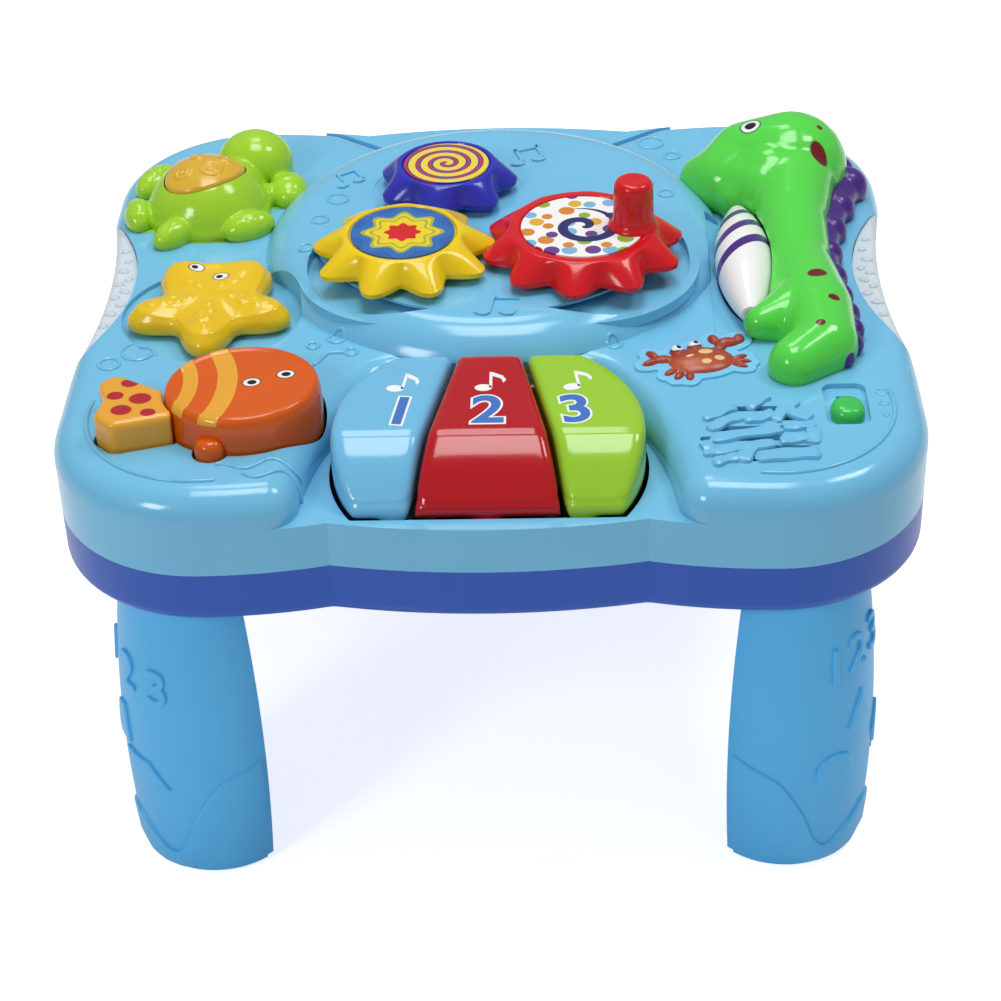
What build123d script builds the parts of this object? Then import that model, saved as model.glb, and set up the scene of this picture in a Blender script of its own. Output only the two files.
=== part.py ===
# Sea-themed activity table for toddlers: a lobed two-shell casing on four push-fit legs, with meshing
# gears, hinged keys, press buttons, a spinning starfish, a belly roller and the electronics inside.
# Frame: origin on the floor under the middle of the table, +Z up, -Y towards the child.
import os
from math import atan2, cos, pi, radians, sin, sqrt

from build123d import *

os.makedirs("parts", exist_ok=True)

# Casing
table_width = 260.0
table_depth = 234.0
leg_height = 102.0
base_height = 17.0
skirt_height = 26.0
wall = 3.0
lobe_radius = 46.0
cusp_x = 46.0
cusp_set = 4.5
deck_edge_round = 9.0
base_edge_round = 4.0
cusp_round = 6.0
notch_y = 6.0
notch_half = 44.0
notch_depth = 14.5
notch_mouth = 1.5
side_dip = 5.5
panel_gap = 0.2
panel_drop = 1.5
panel_peg_radius = 2.5
panel_peg_spread = 24.0
fit_gap = 0.3

# Levels worked out from the casing
base_z = leg_height
parting_z = base_z + base_height
deck_z = parting_z + skirt_height
deck_under = deck_z - wall
floor_z = base_z + wall
half_w = table_width / 2
half_d = table_depth / 2

# Key bay, back shelf and dais
shelf_drop = 11.0
back_drop = 2.5
bay_back_y = -46.5
bay_back_half = 31.0
bay_side_x = 49.0
bay_side_y = -80.0
bay_front_half = 55.0
bay_corner_round = 10.0
back_bay_half = 64.0
back_bay_neck = 24.0
back_bay_neck_y = 91.0
dais_y = 29.0
dais_foot_radius = 75.0
dais_top_radius = 60.0
dais_rise = 9.0
shelf_z = deck_z - shelf_drop
back_z = deck_z - back_drop
dais_z = deck_z + dais_rise

# Gears
gear_module = 6.0
red_teeth = 10
yellow_teeth = 9
blue_teeth = 7
addendum = 2.4
tooth_depth = 6.2
gear_height = 13.5
gear_land = 2.0
gear_slope = 6.0
gear_bulge = 0.6
gear_wall = 3.5
gear_lift = 0.5
well_depth = 3.5
well_gap = 1.6
yellow_x = -28.0
yellow_y = 2.0
red_bearing = 2.0
blue_bearing = 75.0
red_phase = 12.0
shaft_radius = 5.0
shaft_fit = 0.08
hub_radius = 9.0
bush_wall = 3.0
bush_length = 9.0
shaft_end_play = 0.3
label_thickness = 0.6
label_fit = 0.15
red_label_radius = 19.5
yellow_label_radius = 16.5
blue_label_radius = 14.0
knob_offset = 16.0
knob_bearing = 1.5
knob_radius = 6.5
knob_base_radius = 8.0
knob_height = 16.5
knob_base_height = 2.4
knob_peg_radius = 3.0
knob_peg_depth = 4.0

# Screws
screw_radius = 1.5
screw_fit = 0.05
screw_head_radius = 3.2
screw_head_height = 2.2
washer_head_radius = 7.2
shaft_screw_length = 9.0
boss_radius = 4.5
casing_screw_reach = 11.0
front_screw = (50.5, -101.0)
side_screw = (122.0, -50.0)
rear_screw = (118.0, 82.0)
back_screw = (36.0, 103.0)
counterbore_depth = 9.0
counterbore_radius = 3.8

# Keys
key_back_y = -48.0
key_front_y = -110.5
key_back_half = 9.8
key_front_half = 21.5
key_gap = 1.2
key_outer_back_x = 28.0
key_outer_mid_x = 46.0
key_outer_mid_y = -84.0
key_outer_front_x = 39.0
key_top_z = 150.5
key_bottom_z = 133.0
key_ridge_y = -91.0
key_nose_z = 137.0
key_edge_round = 2.2
key_clearance = 1.0
key_shell = 3.2
key_hinge_y = -53.0
key_hinge_z = 140.0
key_heel = 9.0
key_pocket_top = 141.5
key_pocket_front = -99.0
key_plunger_radius = 3.5
key_plunger_y = -84.0
key_plunger_x = 27.0
rod_radius = 1.6
rod_fit = 0.06
rod_half = 40.0
key_hook_half = 3.0
key_hook_drop = 5.0
key_hook_reach = 1.3
key_hook_x = 27.0

# Domes and small boards
dome_base_radius = 6.0
dome_top_radius = 3.6
dome_height = 8.0
dome_skin = 0.8
board_thickness = 1.6
small_board_z = 117.0
post_radius = 3.0
post_inset = 4.0
key_board_half = 43.0
key_board_back = -64.0
key_board_front = -104.0
button_board = 22.0

# Fish
fish_x = -72.5
fish_y = -71.5
fish_half_length = 23.5
fish_half_width = 21.5
fish_tilt = 12.0
fish_fin_radius = 4.5
fish_fin_x = -80.5
fish_fin_y = -92.0
fish_fin_proud = 6.0
fish_fin_round = 2.0
fish_proud = 11.0
fish_edge_round = 3.5
fish_clearance = 0.9
fish_flange = 2.2
fish_flange_thickness = 2.0
fish_travel = 3.0
fish_plunger_radius = 4.0
fish_tail_step = 1.5
stripe_centre_x = -141.0
stripe_centre_y = -73.0
stripe_width = 5.0
stripe_radius_a = 55.8
stripe_radius_b = 65.8
stripe_depth = 2.5
fish_tail_shape = ((4, -3), (-15, 9), (-20, 4), (-17, -5), (-19, -14), (-13, -20), (4, -15))

# Turtle
turtle_x = -97.0
turtle_y = 54.0
turtle_radius = 21.0
turtle_height = 18.5
turtle_heading = 58.0
turtle_head_reach = 29.0
turtle_head_radius = 11.5
turtle_head_lift = 6.5
flipper_root = 10.0
flipper_radius = 5.5
flipper_height = 6.5
flipper_round = 4.0
flippers = ((22.0, 26.5), (-48.0, 20.0), (248.0, 21.0), (200.0, 22.0), (144.0, 22.0))
shell_half_length = 14.3
shell_half_width = 11.3
shell_bearing = 40.0
shell_proud = 0.9
shell_fit = 0.5
shell_flange = 2.0
shell_flange_thickness = 2.2
shell_travel = 2.5
shell_plunger_radius = 3.0
plunger_hole_gap = 1.0

# Starfish
star_x = -88.5
star_y = -14.0
star_tip = 27.0
star_valley = 15.5
star_arms = 5
star_sharpness = 0.9
star_thickness = 9.0
star_rim_height = 5.0
star_lift = 0.5
dish_radius = 28.5
dish_depth = 1.5
star_shaft_radius = 4.0

# Seahorse and roller
roller_x = 80.2
roller_z = 150.5
roller_back_y = 36.0
roller_front_y = -29.0
roller_mid_radius = 9.2
roller_end_radius = 5.0
axle_radius = 2.0
axle_fit = 0.08
axle_seat = 3.5
roller_end_gap = 0.6
trough_gap = 1.6
skull = (99.5, 62.0, 155.5, 19.5)
muzzle = (78.0, 57.0, 152.0, 13.0)
nose = (71.0, 61.0, 150.5, 8.5)
chin = (82.0, 46.0, 150.5, 8.5)
nape = (99.5, 50.0, 153.5, 14.0)
neck = (97.0, 28.0, 151.5, 12.0)
waist = (98.2, 2.0, 149.5, 12.0)
hip = (101.0, -25.0, 149.5, 12.0)
tail_bend = (101.5, -44.0, 148.5, 10.5)
tail_tip = (91.5, -53.5, 148.0, 8.3)
belly_radius = 4.6
fin_upper = ((117, 79), (119.5, 56), (115, 34), (110.5, 12))
fin_lower = ((110.5, -8), (112.5, -25), (112.5, -40), (107, -54))
fin_bumps = 12
fin_first_radius = 6.0
fin_last_radius = 3.0
fin_lift = 1.5
figure_peg_radius = 3.0
figure_peg_fit = 0.1
figure_peg_set = 12.2
seahorse_peg_x = 100.0
seahorse_pegs_y = (-38.0, 50.0)
limb_neck = 0.97

# Crab badge
crab_x = 62.0
crab_y = -46.5
crab_half_length = 10.0
crab_half_width = 7.0
crab_thickness = 2.4
claw_radius = 4.2
claw_reach = 13.0
crab_leg_radius = 1.6
crab_leg_fan = 25.0
crab_legs = 3

# Speaker, grille and power switch
speaker_x = 81.0
speaker_y = -88.0
speaker_radius = 16.0
speaker_rim = 3.5
speaker_flange = 2.0
speaker_basket_depth = 8.0
magnet_radius = 9.0
magnet_depth = 7.0
clamp_width = 3.0
clamp_bearings = (80.0, 200.0, 320.0)
clamp_thickness = 2.0
grille_x = 78.5
grille_y = -86.0
grille_slot_width = 2.6
grille_pitch = 5.2
grille_lengths = (14.0, 24.0, 30.0, 34.0, 30.0, 22.0)
switch_x = 105.5
switch_y = -71.0
switch_recess_width = 13.0
switch_recess_length = 22.0
switch_recess_depth = 1.6
switch_travel = 8.0
switch_knob_width = 10.0
switch_knob_length = 11.0
switch_knob_height = 6.0
switch_stem = 4.0
switch_gap = 0.4
switch_body_width = 12.0
switch_body_depth = 8.0

# Battery box, cells and boards
cell_radius = 7.25
cell_length = 49.0
cell_nub_radius = 2.75
cell_nub_length = 1.5
cell_pitch = 15.4
cell_count = 3
cell_lift = 0.6
box_wall = 2.0
contact_thickness = 0.5
contact_room = 3.5
door_thickness = 2.5
door_gap = 0.6
door_pin_radius = 1.25
door_pin_length = 3.0
door_pin_fit = 0.08
door_tab_half = 8.0
door_tab_length = 9.0
door_screw_reach = 3.2
main_board_half = 40.0
main_board_back = 62.0
main_board_front = -36.0
main_board_z = 125.0
chip_size = 14.0
chip_height = 2.2

# Legs
leg_x = 90.0
leg_y = 90.5
leg_foot_radius = 25.5
leg_waist_radius = 27.0
leg_waist_z = 42.0
leg_top_radius = 22.5
leg_foot_round = 3.0
leg_plug_radius = 17.0
leg_plug_length = 14.0
leg_wall = 3.0
leg_fit = 0.3
socket_wall = 2.5


def save(part, name):
    """Label a finished piece and write it to its own STEP file."""
    part.label = name
    export_step(part, f"parts/{name}.step")


def upright(x, y):
    """Vertical axis through a point of the plan."""
    return Axis((x, y, 0), (0, 0, 1))


def side_plane(x, y, bearing=0.0):
    """Upright sketch plane through a plan point: local x along the bearing, local y up."""
    a = radians(bearing)
    return Plane(origin=(x, y, 0), x_dir=(cos(a), sin(a), 0), z_dir=(sin(a), -cos(a), 0))


def casing_outline(side_depth):
    """Lobed plan of the casing; side_depth is how far the sides curve in between the lobes."""
    lobe_x = half_w - lobe_radius
    lobe_y = half_d - lobe_radius
    mouth_x = half_w - notch_mouth
    front_mouth = (mouth_x, notch_y - notch_half)
    back_mouth = (mouth_x, notch_y + notch_half)
    cusp_y = half_d - cusp_set
    with BuildSketch() as plan:
        with BuildLine():
            TangentArc((lobe_x, -half_d), (cusp_x, -cusp_y), tangent=(-1, 0))
            CenterArc((lobe_x, -lobe_y), lobe_radius, -90, 90)
            if side_depth:
                TangentArc((half_w, -lobe_y), front_mouth, tangent=(0, 1))
                ThreePointArc(front_mouth, (half_w - side_depth, notch_y), back_mouth)
                TangentArc((half_w, lobe_y), back_mouth, tangent=(0, -1))
            else:
                Line((half_w, -lobe_y), (half_w, lobe_y))
            CenterArc((lobe_x, lobe_y), lobe_radius, 0, 90)
            TangentArc((lobe_x, half_d), (cusp_x, cusp_y), tangent=(-1, 0))
            mirror(about=Plane.YZ)
            ThreePointArc((-cusp_x, -cusp_y), (0, -half_d), (cusp_x, -cusp_y))
            ThreePointArc((-cusp_x, cusp_y), (0, half_d), (cusp_x, cusp_y))
        make_face()
    return plan.sketch


def inset(sketch, amount):
    """The same plan drawn in by an even amount."""
    with BuildSketch() as plan:
        add(sketch)
        offset(amount=-amount)
    return plan.sketch


def prism(sketch, low, high):
    """Straight block on a plan between two levels."""
    with BuildPart() as block:
        with BuildSketch(Plane.XY.offset(low)):
            add(sketch)
        extrude(amount=high - low)
    return block.part


def pillar(x, y, radius, low, high):
    """Round upright post."""
    with BuildPart() as post:
        with BuildSketch(Plane((x, y, low))):
            Circle(radius)
        extrude(amount=high - low)
    return post.part


def block(low, high):
    """Rectangular block between two corners."""
    size = [b - a for a, b in zip(low, high)]
    with BuildPart() as solid:
        with Locations(low):
            Box(*size, align=(Align.MIN, Align.MIN, Align.MIN))
    return solid.part


def dome(x, y, z, radius, height):
    """Cap of a ball standing on a level."""
    ball = (radius**2 + height**2) / (2 * height)
    with BuildPart() as cap:
        with Locations((x, y, z + height - ball)):
            Sphere(ball)
        split(bisect_by=Plane.XY.offset(z), keep=Keep.TOP)
    return cap.part


def limb(points):
    """Rounded limb through (x, y, z, radius) stations: balls joined by tapered rods."""
    with BuildPart() as chain:
        for x, y, z, r in points:
            with Locations((x, y, z)):
                Sphere(r)
        for (x0, y0, z0, r0), (x1, y1, z1, r1) in zip(points, points[1:]):
            start = Vector(x0, y0, z0)
            run = Vector(x1, y1, z1) - start
            with BuildSketch(Plane(origin=start, z_dir=run)):
                Circle(limb_neck * r0)
            with BuildSketch(Plane(origin=start + run, z_dir=run)):
                Circle(limb_neck * r1)
            loft()
    return chain.part


def screw(x, y, seat_z, length, head_radius):
    """Round-headed screw pointing up, its head under the seat level."""
    with BuildPart() as fastener:
        with BuildSketch(Plane((x, y, seat_z - screw_head_height))):
            Circle(head_radius)
        extrude(amount=screw_head_height)
        with BuildSketch(Plane((x, y, seat_z))):
            Circle(screw_radius)
        extrude(amount=length)
    return fastener.part


def rubber_dome(x, y, z):
    """Hollow switch dome standing on a board."""
    with BuildPart() as rubber:
        with BuildSketch(side_plane(x, y)):
            Polygon(
                (dome_base_radius, z),
                (dome_top_radius, z + dome_height),
                (0, z + dome_height),
                (0, z + dome_height - dome_skin),
                (dome_top_radius - dome_skin, z + dome_height - dome_skin),
                (dome_base_radius - dome_skin, z),
                align=None,
            )
        revolve(axis=upright(x, y))
    return rubber.part


def wave_ring(count, tip, valley, phase, sharpness):
    """Closed ring of rounded points, worked out from a raised cosine."""
    steps = 8 * count
    ring = []
    for i in range(steps):
        a = 2 * pi * i / steps
        swell = (0.5 + 0.5 * cos(count * a)) ** sharpness
        r = valley + (tip - valley) * swell
        ring.append((r * cos(a + phase), r * sin(a + phase)))
    return ring


def mesh_phase(teeth, phase, bearing, next_teeth):
    """Phase that puts the next gear's gap where this gear's tooth comes."""
    lead = phase - bearing
    return bearing + pi - lead * teeth / next_teeth + pi / next_teeth


# Plans shared by the casing shells
notched_plan = casing_outline(notch_depth)
full_plan = casing_outline(side_dip)

with BuildSketch() as front_bay:
    with BuildLine():
        bay_mouth = (bay_front_half, -half_d - wall)
        ThreePointArc((bay_back_half, bay_back_y), (bay_side_x, bay_side_y), bay_mouth)
        mirror(about=Plane.YZ)
        Line((-bay_back_half, bay_back_y), (bay_back_half, bay_back_y))
        Line((-bay_front_half, -half_d - wall), (bay_front_half, -half_d - wall))
    make_face()

with BuildSketch() as back_bay:
    with BuildLine():
        Polyline(
            (-back_bay_half, half_d + wall),
            (-back_bay_neck, back_bay_neck_y),
            (back_bay_neck, back_bay_neck_y),
            (back_bay_half, half_d + wall),
            close=True,
        )
    make_face()

with BuildSketch() as deck_plan:
    add(casing_outline(0))
    add(front_bay.sketch, mode=Mode.SUBTRACT)
    add(back_bay.sketch, mode=Mode.SUBTRACT)
    front_corners = deck_plan.vertices().filter_by(lambda v: v.Y < 0 and abs(v.X) < bay_front_half + wall)
    fillet(front_corners, bay_corner_round)
    back_corners = deck_plan.vertices().filter_by(lambda v: v.Y > 0 and abs(v.X) < back_bay_half)
    fillet(back_corners, 2 * bay_corner_round)

with BuildSketch() as lobe_plan:
    add(deck_plan.sketch)
    add(notched_plan, mode=Mode.INTERSECT)

with BuildSketch() as back_shelf_plan:
    with Locations((0, half_d)):
        Rectangle(4 * back_bay_neck + 2 * back_bay_half, half_d)
    add(notched_plan, mode=Mode.INTERSECT)
    add(deck_plan.sketch, mode=Mode.SUBTRACT)

with BuildSketch() as back_hollow_plan:
    add(back_bay.sketch)
    add(inset(notched_plan, wall), mode=Mode.INTERSECT)


def key_plan(side, spread):
    """Plan of one key: side -1, 0 or 1; spread grows it all round."""
    slope = (key_front_half - key_back_half) / (key_back_y - key_front_y)
    gap = key_gap / cos(atan2(key_front_half - key_back_half, key_back_y - key_front_y))
    with BuildSketch() as plan:
        with BuildLine():
            if side == 0:
                Polyline(
                    (-key_back_half, key_back_y),
                    (key_back_half, key_back_y),
                    (key_front_half, key_front_y),
                    (-key_front_half, key_front_y),
                    close=True,
                )
            else:
                Polyline(
                    (side * key_outer_front_x, key_front_y),
                    (side * (key_front_half + gap), key_front_y),
                    (side * (key_back_half + gap), key_back_y),
                    (side * key_outer_back_x, key_back_y),
                )
                ThreePointArc(
                    (side * key_outer_back_x, key_back_y),
                    (side * key_outer_mid_x, key_outer_mid_y),
                    (side * key_outer_front_x, key_front_y),
                )
        make_face()
        if spread:
            offset(amount=spread)
    return plan.sketch


tail_root = fish_x - fish_half_length


def fish_oval(grow):
    """Oval plan of the fish's body, grown all round."""
    with BuildSketch() as plan:
        with Locations((fish_x, fish_y)):
            Ellipse(fish_half_length + grow, fish_half_width + grow, rotation=fish_tilt)
    return plan.sketch


def fish_body_plan(grow):
    """Plan of the fish's body and belly fin, grown all round."""
    with BuildSketch() as plan:
        add(fish_oval(grow))
        with Locations((fish_fin_x, fish_fin_y)):
            Circle(fish_fin_radius + grow)
    return plan.sketch


def fish_tail_plan(grow):
    """Plan of the fish's tail, running in under the body, grown all round."""
    with BuildSketch() as plan:
        with BuildLine():
            Polyline(*[(tail_root + x, fish_y + y) for x, y in fish_tail_shape], close=True)
        make_face()
        fillet(plan.vertices().filter_by(lambda v: v.X < tail_root), fish_edge_round)
        if grow:
            offset(amount=grow)
    return plan.sketch


def fish_plan(grow):
    """Plan of the whole fish, grown all round."""
    with BuildSketch() as plan:
        add(fish_body_plan(grow))
        add(fish_tail_plan(grow))
    return plan.sketch

# Gear centres and phases
gear_z = dais_z - well_depth + gear_lift
gear_top = gear_z + gear_height
well_floor = dais_z - well_depth
red_reach = gear_module * (red_teeth + yellow_teeth) / 2
blue_reach = gear_module * (yellow_teeth + blue_teeth) / 2
red_x = yellow_x + red_reach * cos(radians(red_bearing))
red_y = yellow_y + red_reach * sin(radians(red_bearing))
blue_x = yellow_x + blue_reach * cos(radians(blue_bearing))
blue_y = yellow_y + blue_reach * sin(radians(blue_bearing))
red_turn = radians(red_phase)
yellow_turn = mesh_phase(red_teeth, red_turn, radians(red_bearing) + pi, yellow_teeth)
blue_turn = mesh_phase(yellow_teeth, yellow_turn, radians(blue_bearing), blue_teeth)
bush_low = well_floor - wall - bush_length
shaft_low = bush_low - shaft_end_play


def tip_radius(teeth):
    """Outside radius of a gear."""
    return gear_module * teeth / 2 + addendum


gears = (
    (red_x, red_y, red_teeth),
    (yellow_x, yellow_y, yellow_teeth),
    (blue_x, blue_y, blue_teeth),
)

# Top casing: lobes, key shelf, back shelf and dais over a hollow, with wells, bushes and openings
with BuildPart() as lobes:
    with BuildSketch(Plane.XY.offset(shelf_z)):
        add(deck_plan.sketch)
    extrude(amount=shelf_drop)
    fillet(lobes.faces().sort_by(Axis.Z)[-1].edges(), deck_edge_round)
    add(prism(notched_plan, shelf_z, deck_z), mode=Mode.INTERSECT)

with BuildPart() as dais:
    with BuildSketch(side_plane(0, dais_y)):
        with BuildLine():
            TangentArc((dais_top_radius, dais_z), (dais_foot_radius, deck_z), tangent=(1, 0))
            Polyline(
                (dais_foot_radius, deck_z),
                (dais_foot_radius, deck_under),
                (0, deck_under),
                (0, dais_z),
                (dais_top_radius, dais_z),
            )
        make_face()
    revolve(axis=upright(0, dais_y))

with BuildPart() as dais_hollow:
    with BuildSketch(side_plane(0, dais_y)):
        with BuildLine():
            hollow_top = (dais_top_radius - wall / 2, dais_z - wall)
            hollow_radius = dais_foot_radius - 2 * wall
            TangentArc(hollow_top, (hollow_radius, deck_under), tangent=(1, 0))
            Polyline(
                (hollow_radius, deck_under),
                (hollow_radius, shelf_z),
                (0, shelf_z),
                (0, dais_z - wall),
                hollow_top,
            )
        make_face()
    revolve(axis=upright(0, dais_y))

casing_screw_spots = (
    (front_screw, shelf_z - wall / 2),
    (side_screw, deck_z - wall / 2),
    (rear_screw, deck_z - wall / 2),
    (back_screw, back_z - wall / 2),
)
casing_screws_at = [(s * x, y, top) for (x, y), top in casing_screw_spots for s in (-1, 1)]

seat_z = deck_under
turtle_pegs = tuple((turtle_x + s * figure_peg_set, turtle_y - s * figure_peg_set) for s in (-1, 1))
seahorse_pegs = tuple((seahorse_peg_x, y) for y in seahorse_pegs_y)
figure_pegs = turtle_pegs + seahorse_pegs
trough_low = roller_z - roller_mid_radius - trough_gap
trough_x0 = roller_x - roller_mid_radius - trough_gap
trough_x1 = roller_x + roller_mid_radius + trough_gap
trough_y0 = roller_front_y - trough_gap
trough_y1 = roller_back_y + trough_gap
panel_pegs_y = (notch_y - panel_peg_spread, notch_y + panel_peg_spread)
panel_peg_x = half_w - notch_depth - wall
peg_z = (parting_z + deck_z) / 2
star_seat = deck_z - dish_depth
star_bush_low = deck_under - bush_length
star_shaft_low = star_bush_low - shaft_end_play

with BuildPart() as top_casing:
    add(prism(notched_plan, parting_z, shelf_z))
    add(lobes.part)
    add(prism(back_shelf_plan.sketch, shelf_z, back_z))
    add(dais.part)
    add(prism(inset(notched_plan, wall), parting_z, shelf_z - wall), mode=Mode.SUBTRACT)
    add(prism(inset(lobe_plan.sketch, wall), shelf_z - wall, deck_under - wall), mode=Mode.SUBTRACT)
    add(prism(inset(lobe_plan.sketch, 2 * wall), deck_under - wall, deck_under), mode=Mode.SUBTRACT)
    add(prism(back_hollow_plan.sketch, shelf_z - wall, back_z - wall), mode=Mode.SUBTRACT)
    add(dais_hollow.part, mode=Mode.SUBTRACT)
    for x, y, teeth in gears:
        add(pillar(x, y, tip_radius(teeth) + well_gap + wall, well_floor - wall, well_floor + gear_lift))
        add(pillar(x, y, shaft_radius + bush_wall, bush_low, well_floor))
    add(pillar(star_x, star_y, star_shaft_radius + bush_wall, star_bush_low, deck_under))
    for x, y, top in casing_screws_at:
        add(pillar(x, y, boss_radius, parting_z, top))
    trough_corner = (trough_x0 - wall, trough_y0 - wall, trough_low - wall)
    add(block(trough_corner, (trough_x1 + wall, trough_y1 + wall, deck_under)))
    # Wells, dish, trough and openings
    for x, y, teeth in gears:
        add(pillar(x, y, tip_radius(teeth) + well_gap, well_floor, dais_z + wall), mode=Mode.SUBTRACT)
        add(pillar(x, y, shaft_radius + shaft_fit, bush_low, well_floor), mode=Mode.SUBTRACT)
    add(pillar(star_x, star_y, dish_radius, star_seat, dais_z), mode=Mode.SUBTRACT)
    add(pillar(star_x, star_y, star_shaft_radius + shaft_fit, star_bush_low, star_seat), mode=Mode.SUBTRACT)
    add(block((trough_x0, trough_y0, trough_low), (trough_x1, trough_y1, dais_z)), mode=Mode.SUBTRACT)
    for side in (-1, 0, 1):
        add(prism(key_plan(side, key_clearance), shelf_z - wall, shelf_z), mode=Mode.SUBTRACT)
    fish_room_low = deck_under - wall - fish_travel
    add(prism(fish_plan(fish_clearance), fish_room_low, deck_z + wall), mode=Mode.SUBTRACT)
    plunger_hole = shell_plunger_radius + plunger_hole_gap
    add(pillar(turtle_x, turtle_y, plunger_hole, deck_under - wall, deck_z + wall), mode=Mode.SUBTRACT)
    for x, y in figure_pegs:
        add(pillar(x, y, figure_peg_radius + figure_peg_fit, deck_under - wall, deck_z), mode=Mode.SUBTRACT)
    for x, y, top in casing_screws_at:
        pilot_top = parting_z + casing_screw_reach
        add(pillar(x, y, screw_radius + screw_fit, parting_z, pilot_top), mode=Mode.SUBTRACT)
    with BuildSketch(Plane.YZ.offset(-rod_half)):
        with Locations((key_hinge_y, key_hinge_z)):
            Circle(rod_radius + rod_fit)
    extrude(amount=2 * rod_half, mode=Mode.SUBTRACT)
    for s in (-1, 1):
        with BuildSketch(Plane.YZ.offset(s * (panel_peg_x - wall))):
            with Locations(*[(y, peg_z) for y in panel_pegs_y]):
                Circle(panel_peg_radius + fit_gap)
        extrude(amount=s * 5 * wall, mode=Mode.SUBTRACT)
    # Speaker grille slots
    with BuildSketch(Plane.XY.offset(deck_under)):
        for row, length in enumerate(grille_lengths):
            with Locations((grille_x, grille_y + grille_pitch * (len(grille_lengths) / 2 - row - 0.5))):
                SlotOverall(length, grille_slot_width)
    extrude(amount=wall, mode=Mode.SUBTRACT)
    # Power switch recess and its slot
    with BuildSketch(Plane((switch_x, switch_y, deck_z - switch_recess_depth))):
        RectangleRounded(switch_recess_width, switch_recess_length, switch_recess_width / 4)
    extrude(amount=switch_recess_depth, mode=Mode.SUBTRACT)
    with BuildSketch(Plane((switch_x, switch_y, deck_under))):
        Rectangle(switch_stem + 2 * switch_gap, switch_stem + switch_travel + 2 * switch_gap)
    extrude(amount=wall, mode=Mode.SUBTRACT)
save(top_casing.part, "top_casing")

# Bottom casing: tray with leg sockets, battery box, posts and counterbored screw columns
box_half_x = cell_pitch * (cell_count - 1) / 2 + cell_radius + cell_lift
box_half_y = cell_length / 2 + cell_nub_length + contact_room
box_top = floor_z + 2 * cell_radius + 2 * cell_lift
cell_z = floor_z + cell_lift + cell_radius
door_hinge_y = box_half_y - door_thickness
door_hinge_z = base_z + door_thickness / 2
door_screw_y = -box_half_y - door_tab_length / 2
key_posts = [
    (s * (key_board_half - post_radius), y)
    for s in (-1, 1)
    for y in (key_board_back - post_inset, key_board_front + post_inset)
]
main_posts = [
    (s * (main_board_half - post_radius), y)
    for s in (-1, 1)
    for y in (main_board_front + post_inset, main_board_back - post_inset)
]
fish_board_at = (fish_x, fish_y)
shell_board_at = (turtle_x, turtle_y)
button_posts = [
    (x + s * (button_board / 2 - post_radius), y + s * (button_board / 2 - post_radius))
    for x, y in (fish_board_at, shell_board_at)
    for s in (-1, 1)
]
corners = [(sx, sy) for sx in (-1, 1) for sy in (-1, 1)]


def outward(sx, sy, distance):
    """Upright plane across a leg's corner, moved outwards from the leg's own axis."""
    shift = distance / sqrt(2)
    return Plane(origin=(sx * (leg_x + shift), sy * (leg_y + shift), 0), z_dir=(sx, sy, 0))


def half_post(sx, sy, radius, low, high, back):
    """Half-round post at a corner, its flat face turned to the middle of the table."""
    with BuildPart() as post:
        with BuildSketch(Plane((sx * leg_x, sy * leg_y, low))):
            Circle(radius)
        extrude(amount=high - low)
        split(bisect_by=outward(sx, sy, back), keep=Keep.TOP)
    return post.part


with BuildPart() as tray:
    with BuildSketch(Plane.XY.offset(base_z)) as tray_plan:
        add(full_plan)
        sharp = tray_plan.vertices().filter_by(
            lambda v: abs(abs(v.X) - cusp_x) < fit_gap or abs(abs(v.Y - notch_y) - notch_half) < fit_gap
        )
        fillet(sharp, cusp_round)
    extrude(amount=base_height)
    foot_rim = tray.faces().sort_by(Axis.Z)[0].edges()
    fillet(foot_rim, base_edge_round)

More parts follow.
